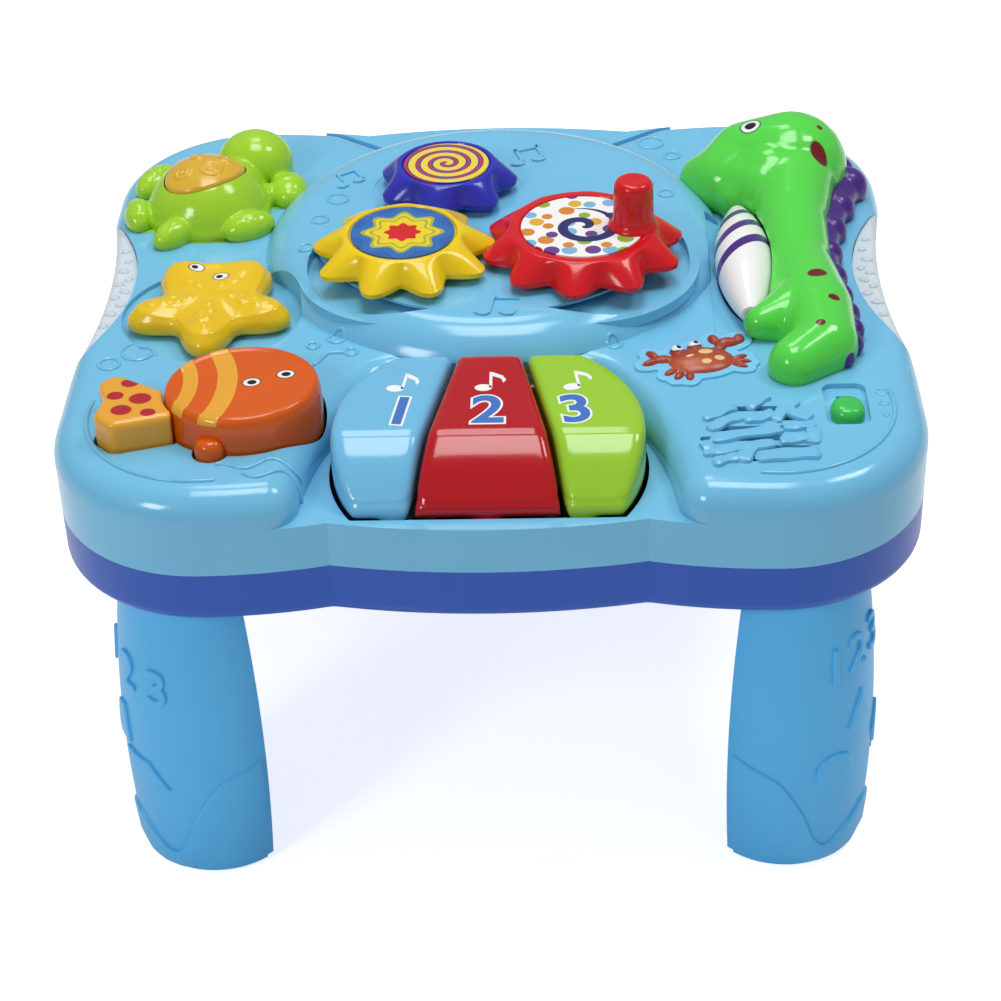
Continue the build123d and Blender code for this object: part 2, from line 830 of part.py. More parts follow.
socket_top = base_z + leg_plug_length + fit_gap
with BuildPart() as bottom_casing:
    add(tray.part)
    add(prism(inset(full_plan, wall), floor_z, parting_z), mode=Mode.SUBTRACT)
    for sx, sy in corners:
        socket_radius = leg_plug_radius + leg_fit + socket_wall
        add(half_post(sx, sy, socket_radius, floor_z, socket_top + socket_wall, -socket_wall - leg_fit))
    add(
        block(
            (-box_half_x - box_wall, -box_half_y - box_wall, floor_z),
            (box_half_x + box_wall, box_half_y + box_wall, box_top + box_wall),
        )
    )
    add(pillar(0, door_screw_y, boss_radius, floor_z, floor_z + door_screw_reach + wall))
    for x, y, top in casing_screws_at:
        add(pillar(x, y, boss_radius, floor_z, parting_z))
    for x, y in key_posts + button_posts:
        add(pillar(x, y, post_radius, floor_z, small_board_z))
    for x, y in main_posts:
        add(pillar(x, y, post_radius, floor_z, main_board_z))
    # Sockets, battery opening, screw ways
    for sx, sy in corners:
        add(half_post(sx, sy, leg_plug_radius + leg_fit, base_z, socket_top, -leg_fit), mode=Mode.SUBTRACT)
    add(block((-box_half_x, -box_half_y, base_z), (box_half_x, box_half_y, box_top)), mode=Mode.SUBTRACT)
    add(
        block(
            (-door_tab_half, -box_half_y - door_tab_length, base_z),
            (door_tab_half, -box_half_y, base_z + door_thickness + fit_gap),
        ),
        mode=Mode.SUBTRACT,
    )
    add(
        pillar(0, door_screw_y, screw_radius + fit_gap, base_z, floor_z + door_screw_reach + fit_gap),
        mode=Mode.SUBTRACT,
    )
    with BuildSketch(Plane.YZ.offset(-box_half_x - door_pin_length)):
        with Locations((door_hinge_y, door_hinge_z)):
            Circle(door_pin_radius + door_pin_fit)
    extrude(amount=2 * (box_half_x + door_pin_length), mode=Mode.SUBTRACT)
    for x, y, top in casing_screws_at:
        add(pillar(x, y, counterbore_radius, base_z, base_z + counterbore_depth), mode=Mode.SUBTRACT)
        add(pillar(x, y, screw_radius + screw_fit, base_z, parting_z), mode=Mode.SUBTRACT)
    for x, y in main_posts:
        pilot_low = main_board_z - casing_screw_reach / 2
        add(pillar(x, y, screw_radius + screw_fit, pilot_low, main_board_z), mode=Mode.SUBTRACT)
save(bottom_casing.part, "bottom_casing")

# Translucent side panels that fill the notches
with BuildSketch() as side_crescents:
    add(full_plan)
    add(inset(notched_plan, -panel_gap), mode=Mode.SUBTRACT)

for side, name in ((-1, "left_side_panel"), (1, "right_side_panel")):
    crescent = max(side_crescents.sketch.faces(), key=lambda f: side * f.center().X)
    with BuildPart() as side_panel:
        with BuildSketch(Plane.XY.offset(parting_z)):
            add(crescent)
        extrude(amount=skirt_height - panel_drop)
        top_edges = side_panel.faces().sort_by(Axis.Z)[-1].edges()
        fillet(max(top_edges, key=lambda e: side * e.center().X), 2 * panel_drop)
        with BuildSketch(Plane.YZ.offset(side * panel_peg_x)):
            with Locations(*[(y, peg_z) for y in panel_pegs_y]):
                Circle(panel_peg_radius)
        extrude(amount=side * 3 * wall)
    save(side_panel.part, name)

# Casing screws
with BuildPart() as casing_screws:
    for x, y, top in casing_screws_at:
        seat = base_z + counterbore_depth
        add(screw(x, y, seat, parting_z - seat + casing_screw_reach - fit_gap, screw_head_radius))
save(casing_screws.part, "casing_screws")


# Gears
def make_gear(x, y, teeth, turn, label_radius):
    """Sloping toothed dish with a hub and a shaft that runs in its bush."""
    tip = tip_radius(teeth)
    top_r = tip - gear_slope
    hollow_r = tip - tooth_depth - gear_wall
    with BuildPart() as gear:
        with BuildSketch(Plane((x, y, gear_z))):
            with BuildLine():
                Spline(*wave_ring(teeth, tip, tip - tooth_depth, turn, 1.0), periodic=True)
            make_face()
        extrude(amount=gear_height)
        with BuildSketch(side_plane(x, y)):
            with BuildLine():
                bulge_z = gear_z + gear_land + (gear_height - gear_land) * gear_bulge
                bulge = ((tip + top_r) / 2 + gear_land, bulge_z)
                ThreePointArc((tip, gear_z + gear_land), bulge, (top_r, gear_top))
                axis_low, axis_top = (0, gear_z), (0, gear_top)
                Polyline((tip, gear_z + gear_land), (tip, gear_z), axis_low, axis_top, (top_r, gear_top))
            make_face()
        revolve(axis=upright(x, y), mode=Mode.INTERSECT)
        with BuildSketch(Plane((x, y, gear_z))):
            Circle(hollow_r)
            Circle(hub_radius, mode=Mode.SUBTRACT)
        extrude(amount=gear_height - gear_wall - label_thickness, mode=Mode.SUBTRACT)
        with BuildSketch(Plane((x, y, shaft_low))):
            Circle(shaft_radius)
        extrude(amount=gear_z - shaft_low + gear_wall)
        with BuildSketch(Plane((x, y, shaft_low))):
            Circle(screw_radius + screw_fit)
        extrude(amount=shaft_screw_length, mode=Mode.SUBTRACT)
        with BuildSketch(Plane((x, y, gear_top - label_thickness))):
            Circle(label_radius + label_fit)
        extrude(amount=label_thickness, mode=Mode.SUBTRACT)
    return gear.part


knob_x = red_x + knob_offset * cos(radians(knob_bearing))
knob_y = red_y + knob_offset * sin(radians(knob_bearing))
knob_seat = gear_top - label_thickness

with BuildPart() as red_gear:
    add(make_gear(red_x, red_y, red_teeth, red_turn, red_label_radius))
    peg_hole = knob_peg_radius + label_fit
    add(pillar(knob_x, knob_y, peg_hole, knob_seat - knob_peg_depth, gear_top), mode=Mode.SUBTRACT)
    add(pillar(knob_x, knob_y, knob_base_radius + label_fit, knob_seat, gear_top + wall), mode=Mode.SUBTRACT)
save(red_gear.part, "red_gear")

with BuildPart() as yellow_gear:
    add(make_gear(yellow_x, yellow_y, yellow_teeth, yellow_turn, yellow_label_radius))
save(yellow_gear.part, "yellow_gear")

with BuildPart() as blue_gear:
    add(make_gear(blue_x, blue_y, blue_teeth, blue_turn, blue_label_radius))
save(blue_gear.part, "blue_gear")

# Crank knob with a flared foot and a peg into the red gear
with BuildPart() as crank_knob:
    with BuildSketch(side_plane(knob_x, knob_y)):
        with BuildLine():
            Polyline(
                (0, knob_seat + knob_height),
                (knob_radius - 1, knob_seat + knob_height),
                (knob_radius, knob_seat + knob_height - 1),
                (knob_radius, knob_seat + knob_base_height),
                (knob_base_radius, knob_seat),
                (knob_peg_radius, knob_seat),
                (knob_peg_radius, knob_seat - knob_peg_depth),
                (0, knob_seat - knob_peg_depth),
                close=True,
            )
        make_face()
    revolve(axis=upright(knob_x, knob_y))
save(crank_knob.part, "crank_knob")

# Printed labels let into the gear tops
label_low = gear_top - label_thickness
with BuildPart() as red_gear_label:
    add(pillar(red_x, red_y, red_label_radius, label_low, gear_top))
    add(pillar(knob_x, knob_y, knob_base_radius + label_fit, label_low, gear_top), mode=Mode.SUBTRACT)
save(red_gear_label.part, "red_gear_label")

with BuildPart() as yellow_gear_label:
    add(pillar(yellow_x, yellow_y, yellow_label_radius, label_low, gear_top))
save(yellow_gear_label.part, "yellow_gear_label")

with BuildPart() as blue_gear_label:
    add(pillar(blue_x, blue_y, blue_label_radius, label_low, gear_top))
save(blue_gear_label.part, "blue_gear_label")

# Washer-headed screws that keep each shaft in its bush
for x, y, low, name in (
    (red_x, red_y, shaft_low, "red_gear_screw"),
    (yellow_x, yellow_y, shaft_low, "yellow_gear_screw"),
    (blue_x, blue_y, shaft_low, "blue_gear_screw"),
    (star_x, star_y, star_shaft_low, "starfish_screw"),
):
    with BuildPart() as shaft_screw:
        add(screw(x, y, low, shaft_screw_length - fit_gap, washer_head_radius))
    save(shaft_screw.part, name)


# Keys on their hinge rod
def make_key(side):
    """Hollow wedge key with a bored heel, a plunger and a front hook."""
    middle_x = side * key_plunger_x
    hook_x = side * key_hook_x
    with BuildPart() as key:
        with BuildSketch(Plane.XY.offset(key_bottom_z)):
            add(key_plan(side, 0))
        extrude(amount=key_top_z - key_bottom_z)
        with BuildSketch(Plane.YZ.offset(-half_w)):
            Polygon(
                (key_ridge_y, key_top_z),
                (key_front_y - wall, key_top_z),
                (key_front_y - wall, key_nose_z),
                (key_front_y, key_nose_z),
                align=None,
            )
        extrude(amount=table_width, mode=Mode.SUBTRACT)
        round_above = (key_nose_z + key_bottom_z) / 2 + key_edge_round
        upper = key.edges().filter_by(lambda e: e.center().Z > round_above)
        fillet(upper.filter_by(lambda e: abs(e.tangent_at(0.5).Z) < 0.9), key_edge_round)
        with BuildSketch(Plane.XY.offset(key_bottom_z)):
            add(inset(key_plan(side, 0), key_shell))
            with Locations((0, key_hinge_y - key_heel / 2)):
                Rectangle(table_width, table_width, align=(Align.CENTER, Align.MIN), mode=Mode.SUBTRACT)
            with Locations((0, key_pocket_front)):
                Rectangle(table_width, table_width, align=(Align.CENTER, Align.MAX), mode=Mode.SUBTRACT)
        extrude(amount=key_pocket_top - key_bottom_z, mode=Mode.SUBTRACT)
        with BuildSketch(Plane.YZ.offset(-half_w)):
            with Locations((key_hinge_y, key_hinge_z)):
                Circle(rod_radius + rod_fit)
        extrude(amount=table_width, mode=Mode.SUBTRACT)
        plunger_low = small_board_z + board_thickness + dome_height + fit_gap
        with BuildSketch(Plane((middle_x, key_plunger_y, plunger_low))):
            Circle(key_plunger_radius)
        extrude(amount=key_pocket_top - plunger_low + 1)
        with Locations((hook_x, key_front_y, key_bottom_z - key_hook_drop)):
            Box(
                2 * key_hook_half,
                key_shell,
                key_hook_drop + 1,
                align=(Align.CENTER, Align.MIN, Align.MIN),
            )
        with Locations((hook_x, key_front_y - key_hook_reach, key_bottom_z - key_hook_drop)):
            Box(
                2 * key_hook_half,
                key_hook_reach + key_shell,
                shelf_z - wall - fit_gap - key_bottom_z + key_hook_drop,
                align=(Align.CENTER, Align.MIN, Align.MIN),
            )
    return key.part


for side, name in ((-1, "left_key"), (0, "middle_key"), (1, "right_key")):
    with BuildPart() as one_key:
        add(make_key(side))
    save(one_key.part, name)

with BuildPart() as key_hinge_rod:
    with BuildSketch(Plane.YZ.offset(-rod_half)):
        with Locations((key_hinge_y, key_hinge_z)):
            Circle(rod_radius)
    extrude(amount=2 * rod_half)
save(key_hinge_rod.part, "key_hinge_rod")

# Switch boards and their rubber domes
with BuildPart() as key_board:
    add(
        block(
            (-key_board_half, key_board_front, small_board_z),
            (key_board_half, key_board_back, small_board_z + board_thickness),
        )
    )
save(key_board.part, "key_board")

board_top = small_board_z + board_thickness
with BuildPart() as key_domes:
    for side in (-1, 0, 1):
        add(rubber_dome(side * key_plunger_x, key_plunger_y, board_top))
save(key_domes.part, "key_domes")

for (x, y), board_name, dome_name in (
    (fish_board_at, "fish_switch_board", "fish_dome"),
    (shell_board_at, "shell_switch_board", "shell_dome"),
):
    half = button_board / 2
    with BuildPart() as switch_board:
        add(block((x - half, y - half, small_board_z), (x + half, y + half, board_top)))
    save(switch_board.part, board_name)
    with BuildPart() as switch_dome:
        add(rubber_dome(x, y, board_top))
    save(switch_dome.part, dome_name)

# Fish button: body with fin, tail and two inlaid stripes on one flange
fish_top = deck_z + fish_proud
flange_top = deck_under - fit_gap
dome_seat = board_top + dome_height + fit_gap

with BuildPart() as fish_blank:
    with BuildSketch(Plane.XY.offset(flange_top)):
        add(fish_oval(0))
    extrude(amount=fish_top - flange_top)
    fillet(fish_blank.faces().sort_by(Axis.Z)[-1].edges(), fish_edge_round)

with BuildPart() as fish_fin:
    add(pillar(fish_fin_x, fish_fin_y, fish_fin_radius, flange_top, deck_z + fish_fin_proud))
    fillet(fish_fin.faces().sort_by(Axis.Z)[-1].edges(), fish_fin_round)

with BuildPart() as stripe_bands:
    for radius in (stripe_radius_a, stripe_radius_b):
        with BuildSketch(Plane((stripe_centre_x, stripe_centre_y, fish_top - stripe_depth))):
            Circle(radius)
            Circle(radius - stripe_width, mode=Mode.SUBTRACT)
        extrude(amount=fish_proud)

with BuildPart() as fish_stripes:
    add(fish_blank.part)
    add(stripe_bands.part, mode=Mode.INTERSECT)
save(fish_stripes.part, "fish_stripes")

fish_flange_low = flange_top - fish_flange_thickness
with BuildPart() as fish_body:
    add(prism(fish_plan(fish_flange), fish_flange_low, flange_top))
    lobe_room = inset(lobe_plan.sketch, 2 * wall + fish_clearance)
    add(prism(lobe_room, fish_flange_low, flange_top), mode=Mode.INTERSECT)
    add(fish_blank.part)
    add(stripe_bands.part, mode=Mode.SUBTRACT)
    add(fish_fin.part)
    add(pillar(fish_x, fish_y, fish_plunger_radius, dome_seat, flange_top))
save(fish_body.part, "fish_body")

with BuildPart() as fish_tail:
    with BuildSketch(Plane.XY.offset(flange_top)):
        add(fish_tail_plan(0))
        add(fish_body_plan(0), mode=Mode.SUBTRACT)
    extrude(amount=fish_top - flange_top - fish_tail_step)
    tail_rim = fish_tail.faces().sort_by(Axis.Z)[-1].edges().filter_by(lambda e: (e @ 0.5).X < tail_root)
    fillet(tail_rim, fish_edge_round / 2)
save(fish_tail.part, "fish_tail")

# Turtle with its press-down shell
shell_low = deck_z + shell_travel + fit_gap
shell_flange_top = shell_low + shell_flange_thickness


def shell_plan(grow):
    """Oval plan of the turtle's shell, grown all round."""
    with BuildSketch() as plan:
        with Locations((turtle_x, turtle_y)):
            Ellipse(shell_half_length + grow, shell_half_width + grow, rotation=shell_bearing)
    return plan.sketch


def flipper(bearing, tip):
    """Rounded flipper of the turtle on a bearing from its middle."""
    a = radians(bearing)
    with BuildPart() as paddle:
        with BuildSketch(Plane((turtle_x, turtle_y, deck_z), x_dir=(cos(a), sin(a), 0))):
            with Locations(((flipper_root + tip) / 2, 0)):
                SlotCenterToCenter(tip - flipper_root, 2 * flipper_radius)
        extrude(amount=flipper_height)
        fillet(paddle.faces().sort_by(Axis.Z)[-1].edges(), flipper_round)
    return paddle.part


with BuildPart() as turtle_body:
    add(dome(turtle_x, turtle_y, deck_z, turtle_radius, turtle_height))
    head_x = turtle_x + turtle_head_reach * cos(radians(turtle_heading))
    head_y = turtle_y + turtle_head_reach * sin(radians(turtle_heading))
    with Locations((head_x, head_y, deck_z + turtle_head_lift)):
        Sphere(turtle_head_radius)
    split(bisect_by=Plane.XY.offset(deck_z), keep=Keep.TOP)
    for bearing, tip in flippers:
        add(flipper(bearing, tip))
    for x, y in turtle_pegs:
        add(pillar(x, y, figure_peg_radius, seat_z, deck_z + wall / 2))
    pocket_top = shell_flange_top + fit_gap
    add(prism(shell_plan(shell_flange + shell_fit), deck_z - wall, pocket_top), mode=Mode.SUBTRACT)
    add(prism(shell_plan(shell_fit), deck_z - wall, deck_z + 2 * turtle_height), mode=Mode.SUBTRACT)
    for x, y in turtle_pegs:
        add(pillar(x, y, screw_radius + screw_fit, seat_z, deck_z + fit_gap), mode=Mode.SUBTRACT)
save(turtle_body.part, "turtle_body")

with BuildPart() as turtle_shell:
    add(prism(shell_plan(0), shell_low, deck_z + 2 * turtle_height))
    shell_ball = dome(turtle_x, turtle_y, deck_z, turtle_radius + shell_proud, turtle_height + shell_proud)
    add(shell_ball, mode=Mode.INTERSECT)
    add(prism(shell_plan(shell_flange), shell_low, shell_flange_top))
    add(pillar(turtle_x, turtle_y, shell_plunger_radius, dome_seat, shell_flange_top))
save(turtle_shell.part, "turtle_shell")

# Starfish that spins in its dish
star_z = star_seat + star_lift
with BuildPart() as starfish:
    with BuildSketch(Plane((star_x, star_y, star_z))):
        with BuildLine():
            Spline(*wave_ring(star_arms, star_tip, star_valley, -pi / 2, star_sharpness), periodic=True)
        make_face()
    extrude(amount=star_thickness)
    with BuildSketch(side_plane(star_x, star_y)):
        with BuildLine():
            crown = (0, star_z + star_thickness)
            star_rim = (star_tip + star_lift, star_z + star_rim_height)
            TangentArc(crown, star_rim, tangent=(1, 0))
            Polyline(star_rim, (star_tip + star_lift, star_z), (0, star_z), crown)
        make_face()
    revolve(axis=upright(star_x, star_y), mode=Mode.INTERSECT)
    with BuildSketch(Plane((star_x, star_y, star_shaft_low))):
        Circle(star_shaft_radius)
    extrude(amount=star_z - star_shaft_low)
    with BuildSketch(Plane((star_x, star_y, star_shaft_low))):
        Circle(screw_radius + screw_fit)
    extrude(amount=shaft_screw_length, mode=Mode.SUBTRACT)
save(starfish.part, "starfish")

# Seahorse, its fin, belly roller and axle
axle_back = roller_back_y + roller_end_gap + axle_seat
axle_front = roller_front_y - roller_end_gap - axle_seat


def roller_body(grow):
    """Spindle of the belly roller, grown all round."""
    low, high = roller_front_y - grow, roller_back_y + grow
    with BuildPart() as spindle:
        with BuildSketch(Plane.XY.offset(roller_z)):
            with BuildLine():
                side = roller_x + roller_end_radius + grow
                crown = (roller_x + roller_mid_radius + grow, (low + high) / 2)
                ThreePointArc((side, low), crown, (side, high))
                Polyline((side, high), (roller_x, high), (roller_x, low), (side, low))
            make_face()
        revolve(axis=Axis((roller_x, 0, roller_z), (0, 1, 0)))
    return spindle.part


def roller_rod(radius):
    """Round rod on the roller's axis, from seat to seat."""
    with BuildPart() as rod:
        with BuildSketch(Plane((roller_x, axle_back, 0), z_dir=(0, -1, 0), x_dir=(1, 0, 0))):
            with Locations((0, roller_z)):
                Circle(radius)
        extrude(amount=axle_back - axle_front)
    return rod.part


belly = (roller_x + axle_radius, axle_front + axle_radius / 2, roller_z - axle_radius / 2, belly_radius)
with BuildPart() as seahorse_body:
    add(limb((skull, muzzle, nose)))
    add(limb((muzzle, chin)))
    add(limb((nape, neck, waist, hip, tail_bend, tail_tip)))
    add(limb((belly, hip)))
    split(bisect_by=Plane.XY.offset(deck_z), keep=Keep.TOP)
    for x, y in seahorse_pegs:
        add(pillar(x, y, figure_peg_radius, seat_z, deck_z + wall))
        add(pillar(x, y, screw_radius + screw_fit, seat_z, deck_z + wall), mode=Mode.SUBTRACT)
    add(roller_body(roller_end_gap), mode=Mode.SUBTRACT)
    add(roller_rod(axle_radius + axle_fit), mode=Mode.SUBTRACT)
    add(dais.part, mode=Mode.SUBTRACT)
save(seahorse_body.part, "seahorse_body")

with BuildPart() as belly_roller:
    add(roller_body(0))
    add(roller_rod(axle_radius + axle_fit), mode=Mode.SUBTRACT)
save(belly_roller.part, "belly_roller")

with BuildPart() as roller_axle:
    add(roller_rod(axle_radius))
save(roller_axle.part, "roller_axle")

with BuildLine() as fin_path:
    Spline(*fin_upper, *fin_lower)
fin_stations = []
for i in range(fin_bumps):
    share = i / (fin_bumps - 1)
    spot = fin_path.line @ share
    bump = fin_first_radius + (fin_last_radius - fin_first_radius) * share
    fin_stations.append((spot.X, spot.Y, deck_z + fin_lift, bump))
with BuildPart() as seahorse_fin:
    add(limb(fin_stations))
    split(bisect_by=Plane.XY.offset(deck_z), keep=Keep.TOP)
    add(seahorse_body.part, mode=Mode.SUBTRACT)
save(seahorse_fin.part, "seahorse_fin")

with BuildPart() as figure_screws:
    for x, y in figure_pegs:
        add(screw(x, y, seat_z, wall, figure_peg_radius + 2 * screw_radius))
save(figure_screws.part, "figure_screws")

# Crab badge
with BuildPart() as crab_badge:
    with BuildSketch(Plane((crab_x, crab_y, deck_z))):
        Ellipse(crab_half_length, crab_half_width)
        for s in (-1, 1):
            with Locations((s * claw_reach, claw_radius)):
                Circle(claw_radius)
            with Locations((s * claw_reach, 2 * claw_radius)):
                Circle(claw_radius / 3, mode=Mode.SUBTRACT)
            with Locations((s * (claw_reach + crab_half_length) / 2, claw_radius / 2)):
                SlotOverall(claw_reach, 2 * crab_leg_radius)
            for step in range(crab_legs):
                spread = crab_half_length + (step - 1) * crab_leg_radius / 2
                with Locations((s * spread, -crab_half_width * step / 2)):
                    fan = -s * crab_leg_fan * (step + 0.5)
                    SlotOverall(crab_half_length, 2 * crab_leg_radius, rotation=fan)
    extrude(amount=crab_thickness)
save(crab_badge.part, "crab_badge")

# Speaker under the grille, its clamp ring and screws
flange_low = deck_under - speaker_flange
basket_low = flange_low - speaker_basket_depth
with BuildPart() as speaker:
    with BuildSketch(side_plane(speaker_x, speaker_y)):
        Polygon(
            (0, deck_under - speaker_flange / 2),
            (speaker_radius - speaker_rim, deck_under - speaker_flange / 2),
            (speaker_radius - speaker_rim, deck_under),
            (speaker_radius, deck_under),
            (speaker_radius, flange_low),
            (speaker_radius - speaker_rim, flange_low),
            (magnet_radius, basket_low),
            (magnet_radius, basket_low - magnet_depth),
            (0, basket_low - magnet_depth),
            align=None,
        )
    revolve(axis=upright(speaker_x, speaker_y))
save(speaker.part, "speaker")

clamp_low = flange_low - clamp_thickness
clamp_reach = speaker_radius + clamp_width / 2
clamp_screws_at = [
    (speaker_x + clamp_reach * cos(radians(b)), speaker_y + clamp_reach * sin(radians(b)))
    for b in clamp_bearings
]
with BuildPart() as speaker_clamp:
    with BuildSketch(Plane((speaker_x, speaker_y, clamp_low))):
        Circle(speaker_radius + clamp_width)
        Circle(speaker_radius - clamp_width / 2, mode=Mode.SUBTRACT)
    extrude(amount=clamp_thickness)
    with BuildSketch(Plane((speaker_x, speaker_y, flange_low))):
        Circle(speaker_radius + clamp_width)
        Circle(speaker_radius + label_fit, mode=Mode.SUBTRACT)
    extrude(amount=speaker_flange)
    for x, y in clamp_screws_at:
        add(pillar(x, y, screw_radius + screw_fit, clamp_low, deck_under), mode=Mode.SUBTRACT)
save(speaker_clamp.part, "speaker_clamp")

with BuildPart() as speaker_screws:
    for x, y in clamp_screws_at:
        add(screw(x, y, clamp_low, clamp_thickness + speaker_flange, screw_head_radius - clamp_width / 3))
save(speaker_screws.part, "speaker_screws")

# Power switch: sliding knob over its body
switch_floor = deck_z - switch_recess_depth
knob_rest_y = switch_y - switch_travel / 2
with BuildPart() as power_switch_knob:
    with BuildSketch(Plane((switch_x, knob_rest_y, switch_floor + fit_gap))):
        RectangleRounded(switch_knob_width, switch_knob_length, switch_knob_width / 3)
    extrude(amount=switch_knob_height)
    fillet(power_switch_knob.faces().sort_by(Axis.Z)[-1].edges(), switch_knob_width / 5)
    stem_low = deck_under - switch_body_depth / 2
    with BuildSketch(Plane((switch_x, knob_rest_y, stem_low))):
        Rectangle(switch_stem, switch_stem)
    extrude(amount=switch_floor + fit_gap - stem_low)
save(power_switch_knob.part, "power_switch_knob")

with BuildPart() as slide_switch:
    with BuildSketch(Plane((switch_x, switch_y, deck_under - switch_body_depth))):
        Rectangle(switch_body_width, switch_recess_length)
    extrude(amount=switch_body_depth)
    with BuildSketch(Plane((switch_x, switch_y, deck_under - switch_body_depth / 2 - fit_gap))):
        Rectangle(switch_stem + 2 * switch_gap, switch_stem + switch_travel + 2 * switch_gap)
    extrude(amount=switch_body_depth, mode=Mode.SUBTRACT)
save(slide_switch.part, "slide_switch")

# Main board with its sound chip, and the screws that hold it
with BuildPart() as main_board:
    add(
        block(
            (-main_board_half, main_board_front, main_board_z),
            (main_board_half, main_board_back, main_board_z + board_thickness),
        )
    )
    for x, y in main_posts:
        low = main_board_z
        add(pillar(x, y, screw_radius + screw_fit, low, low + board_thickness), mode=Mode.SUBTRACT)
save(main_board.part, "main_board")

with BuildPart() as sound_chip:
    low = main_board_z + board_thickness
    middle = (main_board_back + main_board_front) / 2
    near, far = middle - chip_size / 2, middle + chip_size / 2
    add(block((-chip_size, near, low), (chip_size, far, low + chip_height)))
save(sound_chip.part, "sound_chip")

with BuildPart() as board_screws:
    for x, y in main_posts:
        low = main_board_z + board_thickness
        add(pillar(x, y, screw_head_radius, low, low + screw_head_height))
        add(pillar(x, y, screw_radius, low - casing_screw_reach / 2, low))
save(board_screws.part, "board_screws")

# Cells, contacts and the battery door
cells_x = [cell_pitch * (i - (cell_count - 1) / 2) for i in range(cell_count)]
with BuildPart() as aa_cells:
    for i, x in enumerate(cells_x):
        flip = 1 if i % 2 else -1
        with BuildSketch(Plane((x, -cell_length / 2, cell_z), z_dir=(0, 1, 0))):
            Circle(cell_radius)
        extrude(amount=cell_length)
        with BuildSketch(Plane((x, flip * cell_length / 2, cell_z), z_dir=(0, flip, 0))):
            Circle(cell_nub_radius)
        extrude(amount=cell_nub_length)
save(aa_cells.part, "aa_cells")

with BuildPart() as battery_contacts:
    for i, x in enumerate(cells_x):
        flip = 1 if i % 2 else -1
        for end in (-1, 1):
            reach = cell_length / 2 + (cell_nub_length if end == flip else 0)
            with BuildSketch(Plane((x, end * reach, cell_z), z_dir=(0, end, 0))):
                Rectangle(cell_radius, cell_radius)
            extrude(amount=box_half_y - reach)
save(battery_contacts.part, "battery_contacts")

with BuildPart() as battery_door:
    add(
        block(
            (-box_half_x + door_gap, -box_half_y + door_gap, base_z),
            (box_half_x - door_gap, door_hinge_y, base_z + door_thickness),
        )
    )
    add(
        block(
            (-door_tab_half + door_gap, -box_half_y - door_tab_length + door_gap, base_z),
            (door_tab_half - door_gap, -box_half_y + wall, base_z + door_thickness),
        )
    )
    with BuildSketch(Plane.YZ.offset(-box_half_x + door_gap)):
        with Locations((door_hinge_y, door_hinge_z)):
            Circle(door_thickness / 2)
    extrude(amount=2 * (box_half_x - door_gap))
    with BuildSketch(Plane.YZ.offset(-box_half_x - door_pin_length + door_gap)):
        with Locations((door_hinge_y, door_hinge_z)):
            Circle(door_pin_radius)
    extrude(amount=2 * (box_half_x + door_pin_length - door_gap))
    door_top = base_z + door_thickness
    head_seat = base_z + door_thickness / 2
    add(pillar(0, door_screw_y, screw_radius + screw_fit, base_z, door_top), mode=Mode.SUBTRACT)
    add(pillar(0, door_screw_y, screw_head_radius + fit_gap, base_z, head_seat), mode=Mode.SUBTRACT)
save(battery_door.part, "battery_door")

with BuildPart() as battery_door_screw:
    add(pillar(0, door_screw_y, screw_head_radius, base_z + fit_gap, head_seat))
    add(pillar(0, door_screw_y, screw_radius, base_z + fit_gap, floor_z + door_screw_reach))
save(battery_door_screw.part, "battery_door_screw")


# Legs: half-round hollow posts with a plug for the socket
def make_leg(sx, sy):
    """Bowed half-round leg, open at the top, its flat side to the middle."""
    x, y = sx * leg_x, sy * leg_y
    with BuildPart() as hollow:
        with BuildSketch(side_plane(x, y)):
            Polygon(
                (0, leg_wall),
                (leg_foot_radius - 2 * leg_wall, leg_wall),
                (leg_waist_radius - 2 * leg_wall, leg_waist_z),
                (leg_plug_radius - leg_wall, leg_height - 2 * leg_wall),
                (leg_plug_radius - leg_wall, leg_height + leg_plug_length),
                (0, leg_height + leg_plug_length),
                align=None,
            )
        revolve(axis=upright(x, y))
        split(bisect_by=outward(sx, sy, leg_wall), keep=Keep.TOP)
    with BuildPart() as leg:
        with BuildSketch(side_plane(x, y)):
            with BuildLine():
                Polyline(
                    (leg_top_radius, leg_height),
                    (leg_plug_radius, leg_height),
                    (leg_plug_radius, leg_height + leg_plug_length),
                    (0, leg_height + leg_plug_length),
                    (0, 0),
                    (leg_foot_radius - leg_foot_round, 0),
                    (leg_foot_radius, leg_foot_round),
                )
                leg_foot_edge = (leg_foot_radius, leg_foot_round)
                ThreePointArc(leg_foot_edge, (leg_waist_radius, leg_waist_z), (leg_top_radius, leg_height))
            make_face()
        revolve(axis=upright(x, y))
        split(bisect_by=outward(sx, sy, 0), keep=Keep.TOP)
        add(hollow.part, mode=Mode.SUBTRACT)
    return leg.part


for sx, sy, name in (
    (-1, -1, "front_left_leg"),
    (1, -1, "front_right_leg"),
    (-1, 1, "back_left_leg"),
    (1, 1, "back_right_leg"),
):
    with BuildPart() as leg_piece:
        add(make_leg(sx, sy))
    save(leg_piece.part, name)
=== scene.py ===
from contextlib import contextmanager
from math import atan2, cos, degrees, exp, pi, radians, sin, sqrt

import bpy
from mathutils import Matrix, Vector
from mathutils.bvhtree import BVHTree


